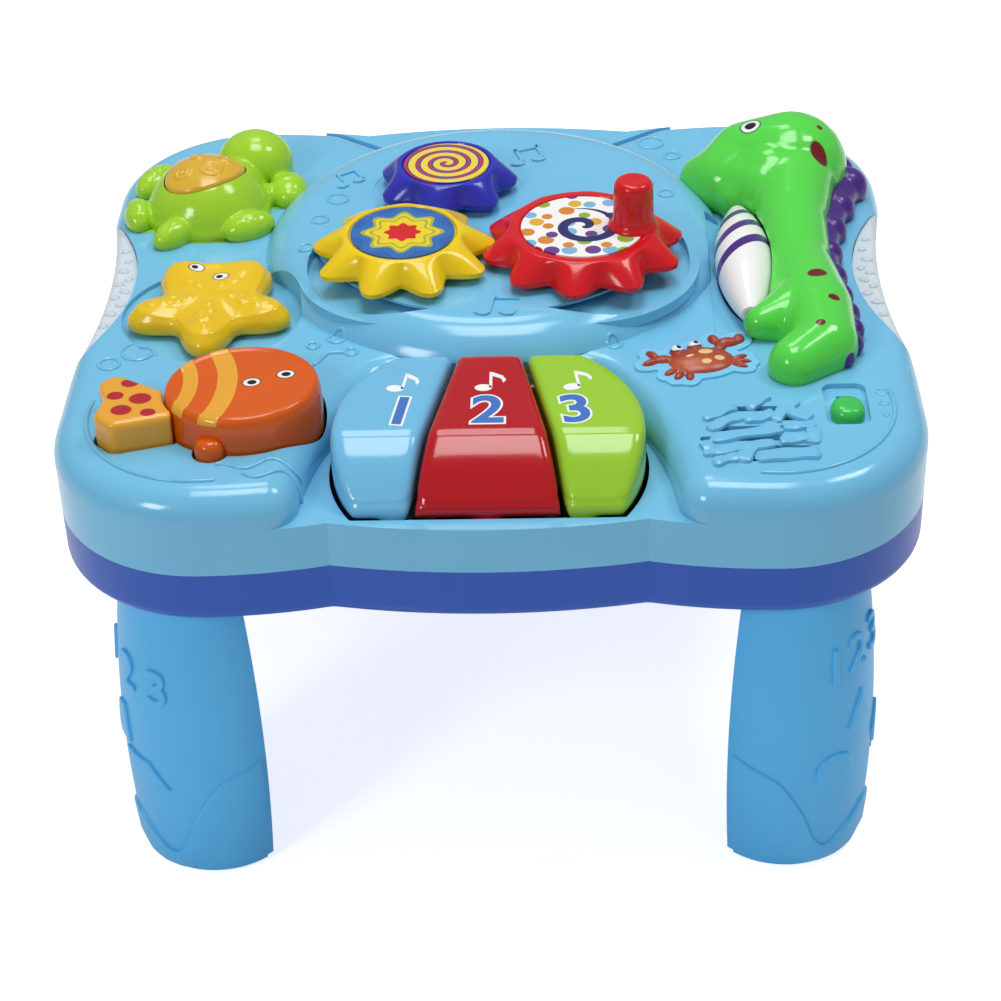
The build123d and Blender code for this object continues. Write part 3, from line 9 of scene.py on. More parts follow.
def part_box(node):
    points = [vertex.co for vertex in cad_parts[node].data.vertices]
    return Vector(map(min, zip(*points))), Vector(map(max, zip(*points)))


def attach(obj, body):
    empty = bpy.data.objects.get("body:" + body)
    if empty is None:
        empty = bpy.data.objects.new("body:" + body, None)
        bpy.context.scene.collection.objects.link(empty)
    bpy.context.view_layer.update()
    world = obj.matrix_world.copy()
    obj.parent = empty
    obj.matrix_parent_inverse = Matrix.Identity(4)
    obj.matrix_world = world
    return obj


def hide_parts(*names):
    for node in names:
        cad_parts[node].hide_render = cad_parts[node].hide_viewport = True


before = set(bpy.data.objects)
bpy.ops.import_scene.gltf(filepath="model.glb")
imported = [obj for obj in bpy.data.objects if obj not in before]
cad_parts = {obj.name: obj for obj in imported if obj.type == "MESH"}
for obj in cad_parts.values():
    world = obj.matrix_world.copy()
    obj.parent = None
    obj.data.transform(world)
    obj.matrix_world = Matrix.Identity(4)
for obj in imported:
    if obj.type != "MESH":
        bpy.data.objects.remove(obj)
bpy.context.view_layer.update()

bl_info = {
    "name": "Activity table",
    "version": (1, 0, 0),
    "blender": (4, 5, 0),
    "location": "View3D > Sidebar > Activity table",
    "description": "Dresses the packed activity table with its moulded figures, prints and finishes",
    "category": "Object",
}

MM = 0.001

# in millimetres, as in the solids: the deck, and the dais that carries the gears

DECK = 145.0
DAIS_AT, DAIS_FOOT, DAIS_SLOPE, DAIS_RISE = (0.0, 29.0), 75.0, 15.0, 9.0

# height of a numeral as a share of its font size

NUMERAL_SHARE = 0.73

# a radius in millimetres that no piece reaches

ENDLESS = 1.0e6


def tint(code):
    """Linear colour of a six-digit sRGB code."""
    parts = [int(code[i:i + 2], 16) / 255 for i in (0, 2, 4)]
    return tuple(p / 12.92 if p <= 0.04045 else ((p + 0.055) / 1.055) ** 2.4 for p in parts)


def colour(label, about, code):
    """A colour that the user can change."""
    return bpy.props.FloatVectorProperty(
        name=label, description=about, subtype="COLOR", size=3, min=0.0, max=1.0, default=tint(code))


def size(label, about, millimetres):
    """A length that the user can change."""
    return bpy.props.FloatProperty(
        name=label, description=about, default=millimetres * MM, min=0.0, subtype="DISTANCE", unit="LENGTH")


class TableColours(bpy.types.PropertyGroup):
    """Colours of the moulded plastics and the prints."""
    pale_blue: colour("Pale blue", "Upper casing", "76C3E8")
    deep_blue: colour("Deep blue", "Lower casing", "2459BE")
    leg_blue: colour("Leg blue", "Legs", "5AC2FC")
    frosted: colour("Frosted white", "Side panels", "DFE4EA")
    gear_red: colour("Gear red", "Large gear and crank knob", "D8131D")
    gear_yellow: colour("Gear yellow", "Middle gear", "F3CF12")
    gear_blue: colour("Gear blue", "Small gear", "2C31B4")
    key_sky: colour("Key sky", "Left key", "74BFE6")
    key_red: colour("Key red", "Middle key", "B80C18")
    key_lime: colour("Key lime", "Right key", "9CCF33")
    print_blue: colour("Print blue", "Numerals on the keys", "3A73C4")
    orange: colour("Orange", "Fish body", "DD5C04")
    amber: colour("Amber", "Fish stripes and tail", "EBA832")
    shell: colour("Shell amber", "Turtle shell", "E0B236")
    dot_red: colour("Dot red", "Dots on the fish tail", "B5202A")
    turtle: colour("Turtle green", "Turtle body", "A6D82F")
    star: colour("Star yellow", "Starfish", "EFC61A")
    seahorse: colour("Seahorse green", "Seahorse body", "58DC4C")
    purple: colour("Purple", "Seahorse fin and roller bands", "4A2482")
    maroon: colour("Maroon", "Seahorse spots", "6E0F12")
    crab: colour("Crab red", "Crab relief", "A63F2B")
    switch: colour("Switch green", "Slide switch knob", "3CC455")
    ink: colour("Ink", "Pupils", "0B0B10")
    white: colour("White", "Eyes, roller and print outlines", "F6F6F4")


class TableSizes(bpy.types.PropertyGroup):
    """Sizes of the raised work that sits on the moulded pieces."""
    ridge: size("Ridge", "Half thickness of the moulded lines on the casing", 0.75)
    numeral: size("Numeral", "Height of the numerals on the keys", 14.5)
    leg_numeral: size("Leg numeral", "Height of the raised numerals on the legs", 13.0)
    leg_relief: size("Leg relief", "How far the wavy cuffs stand off the legs", 0.9)
    print_film: size("Print film", "How far the white prints stand off the keys", 0.12)


def colours():
    return bpy.context.scene.table_colours


def sizes():
    return bpy.context.scene.table_sizes


# selection and mesh work

def deselect():
    bpy.ops.object.select_all(action="DESELECT")


def pick(*objects):
    """Selects only these, the first one active."""
    deselect()
    for each in objects:
        each.select_set(True)
    bpy.context.view_layer.objects.active = objects[0]


@contextmanager
def editing(piece):
    """Edit mode with all of a piece selected."""
    pick(piece)
    bpy.ops.object.mode_set(mode="EDIT")
    bpy.ops.mesh.select_all(action="SELECT")
    yield
    bpy.ops.object.mode_set(mode="OBJECT")


def seal(piece, gap=0.002):
    """Merges doubled corners and turns every face outwards."""
    with editing(piece):
        bpy.ops.mesh.remove_doubles(threshold=gap * MM)
        bpy.ops.mesh.normals_make_consistent(inside=False)
    return piece


def grid(name, columns, rows, place):
    """A grid whose corners go where place(u, v) says, in millimetres, with its seams closed."""
    deselect()
    bpy.ops.mesh.primitive_grid_add(x_subdivisions=columns, y_subdivisions=rows, size=2.0)
    piece = bpy.context.object
    piece.name = name
    for corner in piece.data.vertices:
        corner.co = Vector(place((corner.co.x + 1) / 2, (corner.co.y + 1) / 2)) * MM
    return seal(piece)


def rings(name, loops):
    """A skin drawn through closed loops of points."""
    columns, rows = len(loops[0]), len(loops) - 1
    return grid(name, columns, rows, lambda u, v: loops[round(v * rows)][round(u * columns) % columns])


def ellipse(x, y, wide, tall, count):
    """Points round an ellipse, from its middle and half sizes."""
    return [(x + wide * cos(2 * pi * i / count), y + tall * sin(2 * pi * i / count)) for i in range(count)]


def oval(length, width, turn=0.0):
    """How far a turned ellipse reaches at each bearing, from its half sizes."""
    def reach(angle):
        way = angle - turn
        return length * width / sqrt((width * cos(way)) ** 2 + (length * sin(way)) ** 2)
    return reach


def turned(points, x, y, turn, scale=1.0):
    """Flat points scaled and turned about their origin, then moved to a place."""
    return [(x + scale * (a * cos(turn) - b * sin(turn)), y + scale * (a * sin(turn) + b * cos(turn)))
            for a, b in points]


def slab(low, high):
    """Levels of a straight-sided pillow."""
    return [(0, 0, low), (1, 0, low), (1, 0, high), (0, 0, high)]


def pillow(name, centre, reach, levels, around, lift=None):
    """A closed moulding round a centre: each level is (share of the reach, inset, height)."""
    loops = []
    for share, inset, height in levels:
        loop = []
        for i in range(around):
            angle = 2 * pi * i / around
            radius = max(reach(angle) * share - inset, 0.0)
            x, y = centre[0] + radius * cos(angle), centre[1] + radius * sin(angle)
            loop.append((x, y, height + (lift(x, y, share) if lift else 0.0)))
        loops.append(loop)
    return rings(name, loops)


def tube(name, path, radius, closed=False, sides=10):
    """A round line along points in millimetres, its ends drawn to a point."""
    points = [Vector(p) for p in path]
    count = len(points)
    loops = []
    for i, point in enumerate(points):
        ahead = points[(i + 1) % count] if closed else points[min(i + 1, count - 1)]
        behind = points[i - 1] if closed else points[max(i - 1, 0)]
        along = (ahead - behind).normalized()
        across = along.cross(Vector((0, 0, 1))).normalized()
        over = across.cross(along)
        loops.append([point + radius * (cos(2 * pi * k / sides) * across + sin(2 * pi * k / sides) * over)
                      for k in range(sides)])
    if closed:
        loops.append(loops[0])
    else:
        loops = [[points[0]] * sides] + loops + [[points[-1]] * sides]
    return rings(name, loops)


def plate(name, outline, thickness):
    """A flat piece cut to an outline in millimetres, standing on z 0."""
    deselect()
    bpy.ops.mesh.primitive_circle_add(vertices=len(outline), radius=MM, fill_type="NGON")
    piece = bpy.context.object
    piece.name = name
    for corner, (x, y) in zip(piece.data.vertices, outline):
        corner.co = (x * MM, y * MM, 0)
    with editing(piece):
        bpy.ops.mesh.extrude_region_move(TRANSFORM_OT_translate={"value": (0, 0, thickness * MM)})
    return seal(piece)


def lettering(text, height, swell, thick, steps):
    """A numeral lying flat on x 0: its height in metres, its swelling and half thickness in millimetres."""
    deselect()
    bpy.ops.object.text_add()
    letter = bpy.context.object.data
    letter.body = text
    letter.size = height / NUMERAL_SHARE
    letter.align_x = "CENTER"
    letter.offset = swell * MM
    letter.extrude = thick * MM
    letter.resolution_u = steps
    bpy.ops.object.convert(target="MESH")
    return bpy.context.object


def ball(x, y, z, rx, ry=None, rz=None, yaw=0.0, segments=28):
    """An oval lump in millimetres, to be melted into a figure."""
    deselect()
    bpy.ops.mesh.primitive_uv_sphere_add(
        segments=segments, ring_count=segments // 2, radius=1.0, location=(x * MM, y * MM, z * MM),
        rotation=(0, 0, yaw), scale=(rx * MM, (ry or rx) * MM, (rz or rx) * MM))
    return bpy.context.object


def limb(points, spacing=2.2):
    """Lumps strung along points given as x, y, z and radius."""
    lumps = []
    for start, end in zip(points, points[1:]):
        steps = max(2, int((Vector(end[:3]) - Vector(start[:3])).length / spacing))
        for i in range(steps):
            share = i / steps
            lumps.append(ball(*(a + (b - a) * share for a, b in zip(start, end)), segments=20))
    lumps.append(ball(*points[-1], segments=20))
    return lumps


def join(name, pieces):
    """Several pieces made one object, with its place in its mesh."""
    pick(*pieces)
    if len(pieces) > 1:
        bpy.ops.object.join()
    whole = bpy.context.object
    whole.name = name
    bpy.ops.object.transform_apply(location=True, rotation=True, scale=True)
    return whole


def apply(piece, kind, **settings):
    """One modifier, set and applied."""
    pick(piece)
    change = piece.modifiers.new(kind.lower(), kind)
    for key, value in settings.items():
        setattr(change, key, value)
    bpy.ops.object.modifier_apply(modifier=change.name)
    return piece


def melt(piece, voxel, rounds):
    """Melts touching lumps into one skin and softens the joins."""
    apply(piece, "REMESH", mode="VOXEL", voxel_size=voxel * MM)
    return apply(piece, "SMOOTH", factor=0.5, iterations=rounds)


def solid(node):
    """The mesh of a CAD node."""
    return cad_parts[node].data


def softened(node, voxel, rounds):
    """A copy of a CAD solid with its edges melted soft."""
    piece = bpy.data.objects.new(node + "_skin", solid(node).copy())
    bpy.context.collection.objects.link(piece)
    seal(piece, gap=0.01)
    return melt(piece, voxel, rounds)


def slice_below(piece, height):
    """Cuts a piece flat and keeps what is above the height in millimetres."""
    with editing(piece):
        bpy.ops.mesh.bisect(plane_co=(0, 0, height * MM), plane_no=(0, 0, 1), use_fill=True, clear_inner=True)
    return seal(piece)


def carve(piece, tool):
    """Cuts a tool's shape out of a piece and throws the tool away."""
    apply(piece, "BOOLEAN", object=tool, operation="DIFFERENCE", solver="EXACT")
    bpy.data.objects.remove(tool)
    return seal(piece)


def skin_of(mesh):
    """A searchable copy of a surface."""
    corners = [v.co.copy() for v in mesh.vertices]
    return BVHTree.FromPolygons(corners, [list(f.vertices) for f in mesh.polygons])


def height_on(skin, x, y, above=260.0):
    """Height in millimetres of the surface under a place."""
    hit = skin.ray_cast(Vector((x * MM, y * MM, above * MM)), Vector((0, 0, -1)))[0]
    if hit is None:
        raise RuntimeError(f"nothing lies under {x:.1f}, {y:.1f}")
    return hit.z / MM


def drape(piece, skin):
    """Lays a flat piece on a surface, keeping each corner's height above it."""
    for corner in piece.data.vertices:
        corner.co.z += height_on(skin, corner.co.x / MM, corner.co.y / MM) * MM
    return piece


def settle(piece, body, slot, material, *nodes, angle=38.0):
    """Finishes a piece: shading, material, the body it moves with and the CAD nodes it stands for."""
    pick(piece)
    bpy.ops.object.transform_apply(location=True, rotation=True, scale=True)
    bpy.ops.object.shade_smooth_by_angle(angle=radians(angle))
    piece.data.materials.clear()
    piece.data.materials.append(material)
    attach(piece, body)
    if nodes:
        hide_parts(*nodes)
    return piece


def dress(material, *nodes):
    """Gives CAD nodes a finish."""
    for node in nodes:
        solid(node).materials.clear()
        solid(node).materials.append(material)


# finishes

def add(tree, kind, **inputs):
    """A shader node with some of its inputs set."""
    node = tree.nodes.new(kind)
    for key, value in inputs.items():
        node.inputs[key.replace("_", " ")].default_value = value
    return node


def maths(tree, operation, first, second=None):
    """One sum on sockets or plain numbers."""
    node = tree.nodes.new("ShaderNodeMath")
    node.operation = operation
    for socket, value in zip(node.inputs, (first, second)):
        if isinstance(value, (int, float)):
            socket.default_value = value
        elif value is not None:
            tree.links.new(value, socket)
    return node.outputs[0]


def fade(tree, value, start, end):
    """A factor that goes from 0 at start to 1 at end."""
    edge = add(tree, "ShaderNodeMapRange", From_Min=start, From_Max=end)
    tree.links.new(value, edge.inputs["Value"])
    return edge.outputs["Result"]


def mix(tree, factor, under, over):
    """A colour laid over another by a factor; either may be a socket or a plain colour."""
    node = tree.nodes.new("ShaderNodeMix")
    node.data_type = "RGBA"
    tree.links.new(factor, node.inputs[0])
    for socket, value in ((node.inputs[6], under), (node.inputs[7], over)):
        if isinstance(value, bpy.types.NodeSocket):
            tree.links.new(value, socket)
        else:
            socket.default_value = (*value, 1.0)
    return node.outputs[2]


def shade(rgb, factor):
    """A colour made darker or lighter."""
    return tuple(min(1.0, c * factor) for c in rgb)


def coordinates(tree):
    """The place on the piece that a finish reads."""
    return next(n for n in tree.nodes if n.bl_idname == "ShaderNodeTexCoord").outputs["Object"]


def painted(tree):
    """The socket that a finish takes its colour from."""
    return tree.nodes["Principled BSDF"].inputs["Base Color"].links[0].from_socket


def repaint(tree, paint):
    """Makes a socket the colour of a finish."""
    tree.links.new(paint, tree.nodes["Principled BSDF"].inputs["Base Color"])


def plastic(name, rgb, roughness=0.2, coat=0.15, mottle=0.05, grain=0.05, pitch=700.0, metal=0.0):
    """Moulded plastic or metal: a faint drift of colour and gloss, and a fine grain."""
    material = bpy.data.materials.new(name)
    material.use_nodes = True
    tree = material.node_tree
    shader = tree.nodes["Principled BSDF"]
    for socket, value in (("IOR", 1.49), ("Metallic", metal), ("Specular IOR Level", 0.4),
                          ("Coat Weight", coat), ("Coat Roughness", 0.06)):
        shader.inputs[socket].default_value = value
    tree.nodes.new("ShaderNodeTexCoord")
    drift = add(tree, "ShaderNodeTexNoise", Scale=38.0, Detail=3.0)
    fine = add(tree, "ShaderNodeTexNoise", Scale=pitch, Detail=2.0)
    for texture in (drift, fine):
        tree.links.new(coordinates(tree), texture.inputs["Vector"])
    repaint(tree, mix(tree, drift.outputs["Fac"], shade(rgb, 1 - mottle), shade(rgb, 1 + mottle)))
    gloss = add(tree, "ShaderNodeMapRange", To_Min=roughness * 0.8, To_Max=roughness * 1.25)
    tree.links.new(drift.outputs["Fac"], gloss.inputs["Value"])
    tree.links.new(gloss.outputs["Result"], shader.inputs["Roughness"])
    bump = add(tree, "ShaderNodeBump", Strength=grain, Distance=0.0004)
    tree.links.new(fine.outputs["Fac"], bump.inputs["Height"])
    tree.links.new(bump.outputs["Normal"], shader.inputs["Normal"])
    return material


def casing_blue(name):
    """The glossy pale blue of the upper casing and what is moulded with it."""
    return plastic(name, colours().pale_blue, roughness=0.16, coat=0.225)


def oval_space(tree, centre, radii, turn=0.0):
    """Coordinates in which an oval has a radius of 1, and the distance from its middle, as sockets."""
    spread = tree.nodes.new("ShaderNodeMapping")
    spread.vector_type = "TEXTURE"
    spread.inputs["Location"].default_value = [c * MM for c in (*centre, 0.0)[:3]]
    spread.inputs["Rotation"].default_value = (0, 0, turn)
    spread.inputs["Scale"].default_value = [r * MM for r in (*radii, ENDLESS)[:3]]
    tree.links.new(coordinates(tree), spread.inputs["Vector"])
    far = tree.nodes.new("ShaderNodeVectorMath")
    far.operation = "LENGTH"
    tree.links.new(spread.outputs["Vector"], far.inputs[0])
    return spread.outputs["Vector"], far.outputs["Value"]


def daub(material, centre, radii, rgb, turn=0.0, soft=0.07):
    """Paints an oval over what a finish shows; two radii paint through the height, three make a ball."""
    tree = material.node_tree
    _, far = oval_space(tree, centre, radii, turn)
    repaint(tree, mix(tree, fade(tree, far, 1 + soft, 1 - soft), painted(tree), rgb))


def eye(material, centre, radii, pupil, turn=0.0, gaze=(0.0, 0.0)):
    """An oval white with a dark pupil and a fine dark rim."""
    daub(material, centre, [r * 1.14 for r in radii], shade(colours().ink, 4.0), turn)
    daub(material, centre, radii, colours().white, turn)
    looks = (centre[0] + gaze[0], centre[1] + gaze[1], *centre[2:])
    daub(material, looks, pupil, colours().ink, turn)


def bands(tree, value, stops):
    """Hard-edged colours chosen by a value from 0 to 1."""
    ramp = tree.nodes.new("ShaderNodeValToRGB")
    ramp.color_ramp.interpolation = "CONSTANT"
    edges = ramp.color_ramp.elements
    while len(edges) < len(stops):
        edges.new(0.5)
    for edge, (at, _) in zip(edges, stops):
        edge.position = at
    for edge, (_, rgb) in zip(edges, stops):
        edge.color = (*rgb, 1.0)
    tree.links.new(value, ramp.inputs["Fac"])
    return ramp.outputs["Color"]


def disc_frame(tree, centre, radius):
    """Place, distance and bearing sockets on a printed disc, the rim at distance 1."""
    place, far = oval_space(tree, centre, (radius, radius))
    parts = tree.nodes.new("ShaderNodeSeparateXYZ")
    tree.links.new(place, parts.inputs[0])
    return place, far, maths(tree, "ARCTAN2", parts.outputs["Y"], parts.outputs["X"])


def spiral(tree, far, bearing, turns):
    """A value from 0 to 1 across each arm of a spiral on a disc."""
    round_once = maths(tree, "DIVIDE", bearing, 2 * pi)
    return maths(tree, "FRACT", maths(tree, "SUBTRACT", maths(tree, "MULTIPLY", far, turns), round_once))


# gears: places, teeth and labels as in the solids, skirts that end higher

GEAR_FOOT, GEAR_TOP = 156.2, 164.5
RED_AT, YELLOW_AT, BLUE_AT = (28.965, 3.989), (-28.0, 2.0), (-15.577, 48.364)
RED_TEETH, YELLOW_TEETH, BLUE_TEETH = 10, 9, 7
RED_LABEL, YELLOW_LABEL, BLUE_LABEL = 19.5, 16.5, 14.0
KNOB_AT, KNOB_RADIUS = (44.96, 4.41), 6.5

# how far the valleys between the teeth stand out, how sharply the teeth flare, and steps along each tooth

VALLEY, FLARE, TOOTH_STEPS = 0.28, 0.8, 18


def mesh_phase(teeth, phase, bearing, following):
    """Turn of the next gear, whose teeth fall in the gaps of the gear before it."""
    return bearing + pi - (phase - bearing) * teeth / following + pi / following


RED_PHASE = radians(12)
YELLOW_PHASE = mesh_phase(RED_TEETH, RED_PHASE, radians(182), YELLOW_TEETH)
BLUE_PHASE = mesh_phase(YELLOW_TEETH, YELLOW_PHASE, radians(75), BLUE_TEETH)


def gear(name, at, teeth, tip, phase, label, rim):
    """A fluted cog: pointed teeth that flare from a round rim, with a dished top."""
    count = teeth * TOOTH_STEPS

    def loop(rise, share, inset=0.0):
        valley, crest = rim + VALLEY * (tip - rim) * share, rim + (tip - rim) * share ** FLARE
        points = []
        for i in range(count):
            angle = 2 * pi * i / count
            wave = 0.5 + 0.5 * cos(teeth * (angle - phase))
            radius = valley + (crest - valley) * wave ** FLARE - inset
            points.append((at[0] + radius * cos(angle), at[1] + radius * sin(angle), rise))
        return points

    def round_loop(radius, rise):
        return [(x, y, rise) for x, y in ellipse(*at, radius, radius, count)]

    loops = [round_loop(0, GEAR_FOOT), loop(GEAR_FOOT, 1.0, 0.6), loop(GEAR_FOOT + 0.3, 1.0, 0.15)]
    low, high, steps = GEAR_FOOT + 1.8, GEAR_TOP - 0.7, 12
    loops += [loop(low + (high - low) * step / steps, 1 - 0.92 * step / steps) for step in range(steps + 1)]
    loops += [loop(GEAR_TOP - 0.35, 0.03, 0.05), loop(GEAR_TOP - 0.1, 0.0, 0.25), loop(GEAR_TOP, 0.0, 0.7)]
    dish = GEAR_TOP - 0.75
    loops += [round_loop(label + 0.9, GEAR_TOP - 0.05), round_loop(label + 0.5, dish), round_loop(0, dish)]
    return rings(name, loops)


class TABLE_OT_gears(bpy.types.Operator):
    """Model the three meshing gears, the crank knob and the printed discs"""
    bl_idname = "table.gears"
    bl_label = "Gears"

    def execute(self, context):
        c = colours()
        gloss = {}
        for tone, *form in (("red", RED_AT, RED_TEETH, 32.4, RED_PHASE, RED_LABEL, 23.4),
                            ("yellow", YELLOW_AT, YELLOW_TEETH, 29.4, YELLOW_PHASE, YELLOW_LABEL, 18.9),
                            ("blue", BLUE_AT, BLUE_TEETH, 23.4, BLUE_PHASE, BLUE_LABEL, 16.4)):
            body = tone + "_gear"
            gloss[tone] = plastic(f"gear {tone} gloss", getattr(c, "gear_" + tone))
            settle(gear(body + "_skin", *form), body, tone + "_plastic", gloss[tone], body)
        base = GEAR_TOP - 0.9
        knob = pillow("crank_knob_skin", KNOB_AT, lambda angle: KNOB_RADIUS,
                      [(0, 0, base - 6), (1, -1.9, base - 6), (1, -1.5, base + 1.2), (1, -1.1, base + 1.9),
                       (1, -0.35, base + 2.5), (1, 0, base + 3.4), (1, 0.15, base + 8), (1, 0.3, 177.9),
                       (1, 0.55, 179.1), (1, 1.2, 180.0), (1, 2.1, 180.4), (0.5, 0, 180.3),
                       (0, 0, 180.2)], 48)
        settle(knob, "red_gear", "red_plastic", gloss["red"], "crank_knob", angle=50)
        top, step = 153.95, 0.06
        floors = [self.floor(at, radius, top - step * i)
                  for i, (at, radius) in enumerate(((RED_AT, 34.0), (YELLOW_AT, 31.0), (BLUE_AT, 25.0)))]
        pale = casing_blue("gear floor blue")
        settle(join("gear_floors", floors), "casing", "pale_blue_plastic", pale, angle=50)
        dress(self.star_print(), "yellow_gear_label")
        dress(self.spiral_print(), "blue_gear_label")
        dress(self.dot_print(), "red_gear_label")
        return {"FINISHED"}

    def floor(self, at, radius, top):
        """The dais under a gear, as far as the dais is flat."""
        flat, thick = 59.5, 0.8

        def reach(angle):
            dx, dy = at[0] - DAIS_AT[0], at[1] - DAIS_AT[1]
            along = dx * cos(angle) + dy * sin(angle)
            return min(radius, sqrt(along * along - dx * dx - dy * dy + flat * flat) - along)

        return pillow("gear_floor", at, reach, slab(top - thick, top), 180)

    def card(self, name):
        """White card for a printed disc."""
        return plastic(name, colours().white, roughness=0.3, coat=0.075)

    def star_print(self):
        """Nested eight-pointed stars."""
        sun, olive = tint("F2D21F"), tint("A9B43A")
        card = self.card("star print")
        tree = card.node_tree
        _, far, bearing = disc_frame(tree, YELLOW_AT, YELLOW_LABEL)
        wave = maths(tree, "COSINE", maths(tree, "MULTIPLY", bearing, 8.0))
        star = maths(tree, "MULTIPLY", far, maths(tree, "SUBTRACT", 1.0, maths(tree, "MULTIPLY", wave, 0.13)))
        repaint(tree, bands(tree, star, [(0.0, colours().gear_red), (0.31, sun), (0.5, olive), (0.56, sun),
                                         (0.63, olive), (0.7, tint("2F6DB8")), (0.9, tint("2A62AC"))]))
        return card

    def spiral_print(self):
        """A yellow spiral with a red and blue line."""
        yellow, navy, red = tint("F0D645"), tint("2B3FA0"), tint("C23A32")
        card = self.card("spiral print")
        tree = card.node_tree
        _, far, bearing = disc_frame(tree, BLUE_AT, BLUE_LABEL)
        turn = spiral(tree, far, bearing, 3.4)
        repaint(tree, bands(tree, turn, [(0.0, yellow), (0.55, navy), (0.68, red), (0.9, navy)]))
        return card

    def dot_print(self):
        """A scatter of coloured dots round a dark blue curl."""
        white = colours().white
        card = self.card("dot print")
        tree = card.node_tree
        place, far, bearing = disc_frame(tree, RED_AT, RED_LABEL)
        cells = add(tree, "ShaderNodeTexVoronoi", Scale=3.1, Randomness=0.7)
        cells.voronoi_dimensions = "2D"
        tree.links.new(place, cells.inputs["Vector"])
        hue = tree.nodes.new("ShaderNodeSeparateColor")
        tree.links.new(cells.outputs["Color"], hue.inputs[0])
        paint = bands(tree, hue.outputs[0],
                      [(0.0, tint("8CB53A")), (0.2, tint("D98B2B")), (0.4, tint("7FB6DC")),
                       (0.55, tint("6B3F8C")), (0.7, tint("C9332E")), (0.85, tint("E0B030"))])
        grown = maths(tree, "ADD", maths(tree, "MULTIPLY", hue.outputs[1], 0.16), 0.27)
        dots = mix(tree, maths(tree, "LESS_THAN", cells.outputs["Distance"], grown), white, paint)
        line = maths(tree, "LESS_THAN", spiral(tree, far, bearing, 2.2), 0.38)
        curl = maths(tree, "MULTIPLY", line, maths(tree, "LESS_THAN", far, 0.6))
        repaint(tree, mix(tree, curl, dots, tint("232A6B")))
        return card


class TABLE_OT_casing(bpy.types.Operator):
    """Finish the two casing shells and side panels and add the moulded lines on the deck"""
    bl_idname = "table.casing"
    bl_label = "Casing"

    def execute(self, context):
        c = colours()
        pale = casing_blue("casing pale blue")
        dress(pale, "top_casing")
        dress(plastic("casing deep blue", c.deep_blue, roughness=0.3, coat=0.05), "bottom_casing")
        frosted = plastic("panel frosted", c.frosted, roughness=0.35, coat=0.05, mottle=0.03)
        frosted.node_tree.nodes["Principled BSDF"].inputs["Subsurface Weight"].default_value = 0.25
        for node, side in (("left_side_panel", -1), ("right_side_panel", 1)):
            dress(frosted, node)
            settle(self.pebbles(node, side), "casing", "frosted_white_plastic", frosted, angle=60)
        deck = skin_of(solid("top_casing"))
        ridge = sizes().ridge / MM
        marks = []
        for x, y, radius in ((-57, 30, 2.6), (-52, 44, 3.4), (-60, 12, 2.2), (49, 52, 4.0), (57, 44, 2.4),
                             (54, 98, 4.2), (61, 88, 2.6), (-109, -36, 5.0), (-117, -43, 3.2),
                             (-48, -30, 2.6), (-55, -34, 1.8), (-43, -38, 2.0), (38, -36, 2.2)):
            ring = [(px, py, height_on(deck, px, py)) for px, py in ellipse(x, y, radius, radius, 32)]
            marks.append(tube("deck_ring", ring, ridge * 0.8, closed=True, sides=8))
        for path in self.deck_lines():
            marks.append(tube("deck_line", [(x, y, height_on(deck, x, y)) for x, y in path], ridge))
        settle(join("deck_lines", marks), "casing", "pale_blue_plastic", pale)
        notes = [self.note(10.0, 72.5, 0.95, 0.3), self.note(2.0, -26.5, 0.95, -0.15),
                 self.note(-50, 58, 0.8, 0.5)]
        settle(drape(join("deck_notes", notes), deck), "casing", "pale_blue_plastic", pale)
        return {"FINISHED"}

    def pebbles(self, node, side):
        """Shallow ovals moulded on a side panel."""
        skin = skin_of(solid(node))
        levels = slab(-0.4, 0.0)[:3] + [(0.9, 0, 0.25), (0.7, 0, 0.48), (0.4, 0, 0.62), (0, 0, 0.68)]
        stones = []
        for x, y, length, width, turn in ((122.0, 29.5, 1.6, 1.2, 0.4), (120.2, 23.0, 1.6, 1.3, 0.8),
                                          (121.0, 16.5, 2.1, 1.5, -0.3), (118.6, 11.0, 1.6, 1.3, 0.8),
                                          (121.2, 8.0, 1.8, 1.4, 0.1), (118.8, 3.5, 2.0, 1.5, -0.5),
                                          (121.4, -0.5, 1.7, 1.3, 0.6), (119.0, -5.0, 1.8, 1.4, 0.2),
                                          (121.4, -10.5, 2.1, 1.5, -0.2), (122.6, -18.0, 1.7, 1.3, 0.5)):
            stone = pillow("panel_stone", (side * x, y), oval(length, width, turn), levels, 28)
            stones.append(drape(stone, skin))
        return join(node + "_relief", stones)

    def deck_lines(self):
        """Creases inside the front lobes and wave lines beside the fish and keys."""
        lobe_x, lobe_y, radius, first, swept, steps = 84, -71, 35.5, 168, 112, 40
        sweep = [radians(first + swept * i / steps) for i in range(steps + 1)]
        lines = [[(side * (lobe_x - radius * cos(a)), lobe_y + radius * sin(a)) for a in sweep]
                 for side in (-1, 1)]
        height, pitch = 1.8, 0.42
        for x, y, reach, turn in ((-66, -98, 12, 0.15), (-62, -102.5, 8, 0.1), (-52, -42, 8, 0.5)):
            runs = [reach * (i / 24 - 0.5) * 2 for i in range(25)]
            lines.append(turned([(along, height * sin(along * pitch)) for along in runs], x, y, turn))
        return lines

    def note(self, x, y, scale, turn):
        """A pair of quavers joined by a beam."""
        outlines = []
        for hx, hy in ((-4, -5), (4, -4)):
            outlines.append(ellipse(hx, hy, 2.6, 1.9, 20))
            outlines.append([(hx + 1.5, hy), (hx + 2.6, hy), (hx + 2.6, hy + 10), (hx + 1.5, hy + 10)])
        outlines.append([(-2.5, 3.2), (6.6, 4.2), (6.6, 6.6), (-2.5, 5.6)])
        return join("deck_note", [plate("note_part", turned(each, x, y, turn, scale), 0.7)
                                  for each in outlines])


# where the keys' prints stand: the numeral's foot, the note above it, and the note's shift on a leaning key

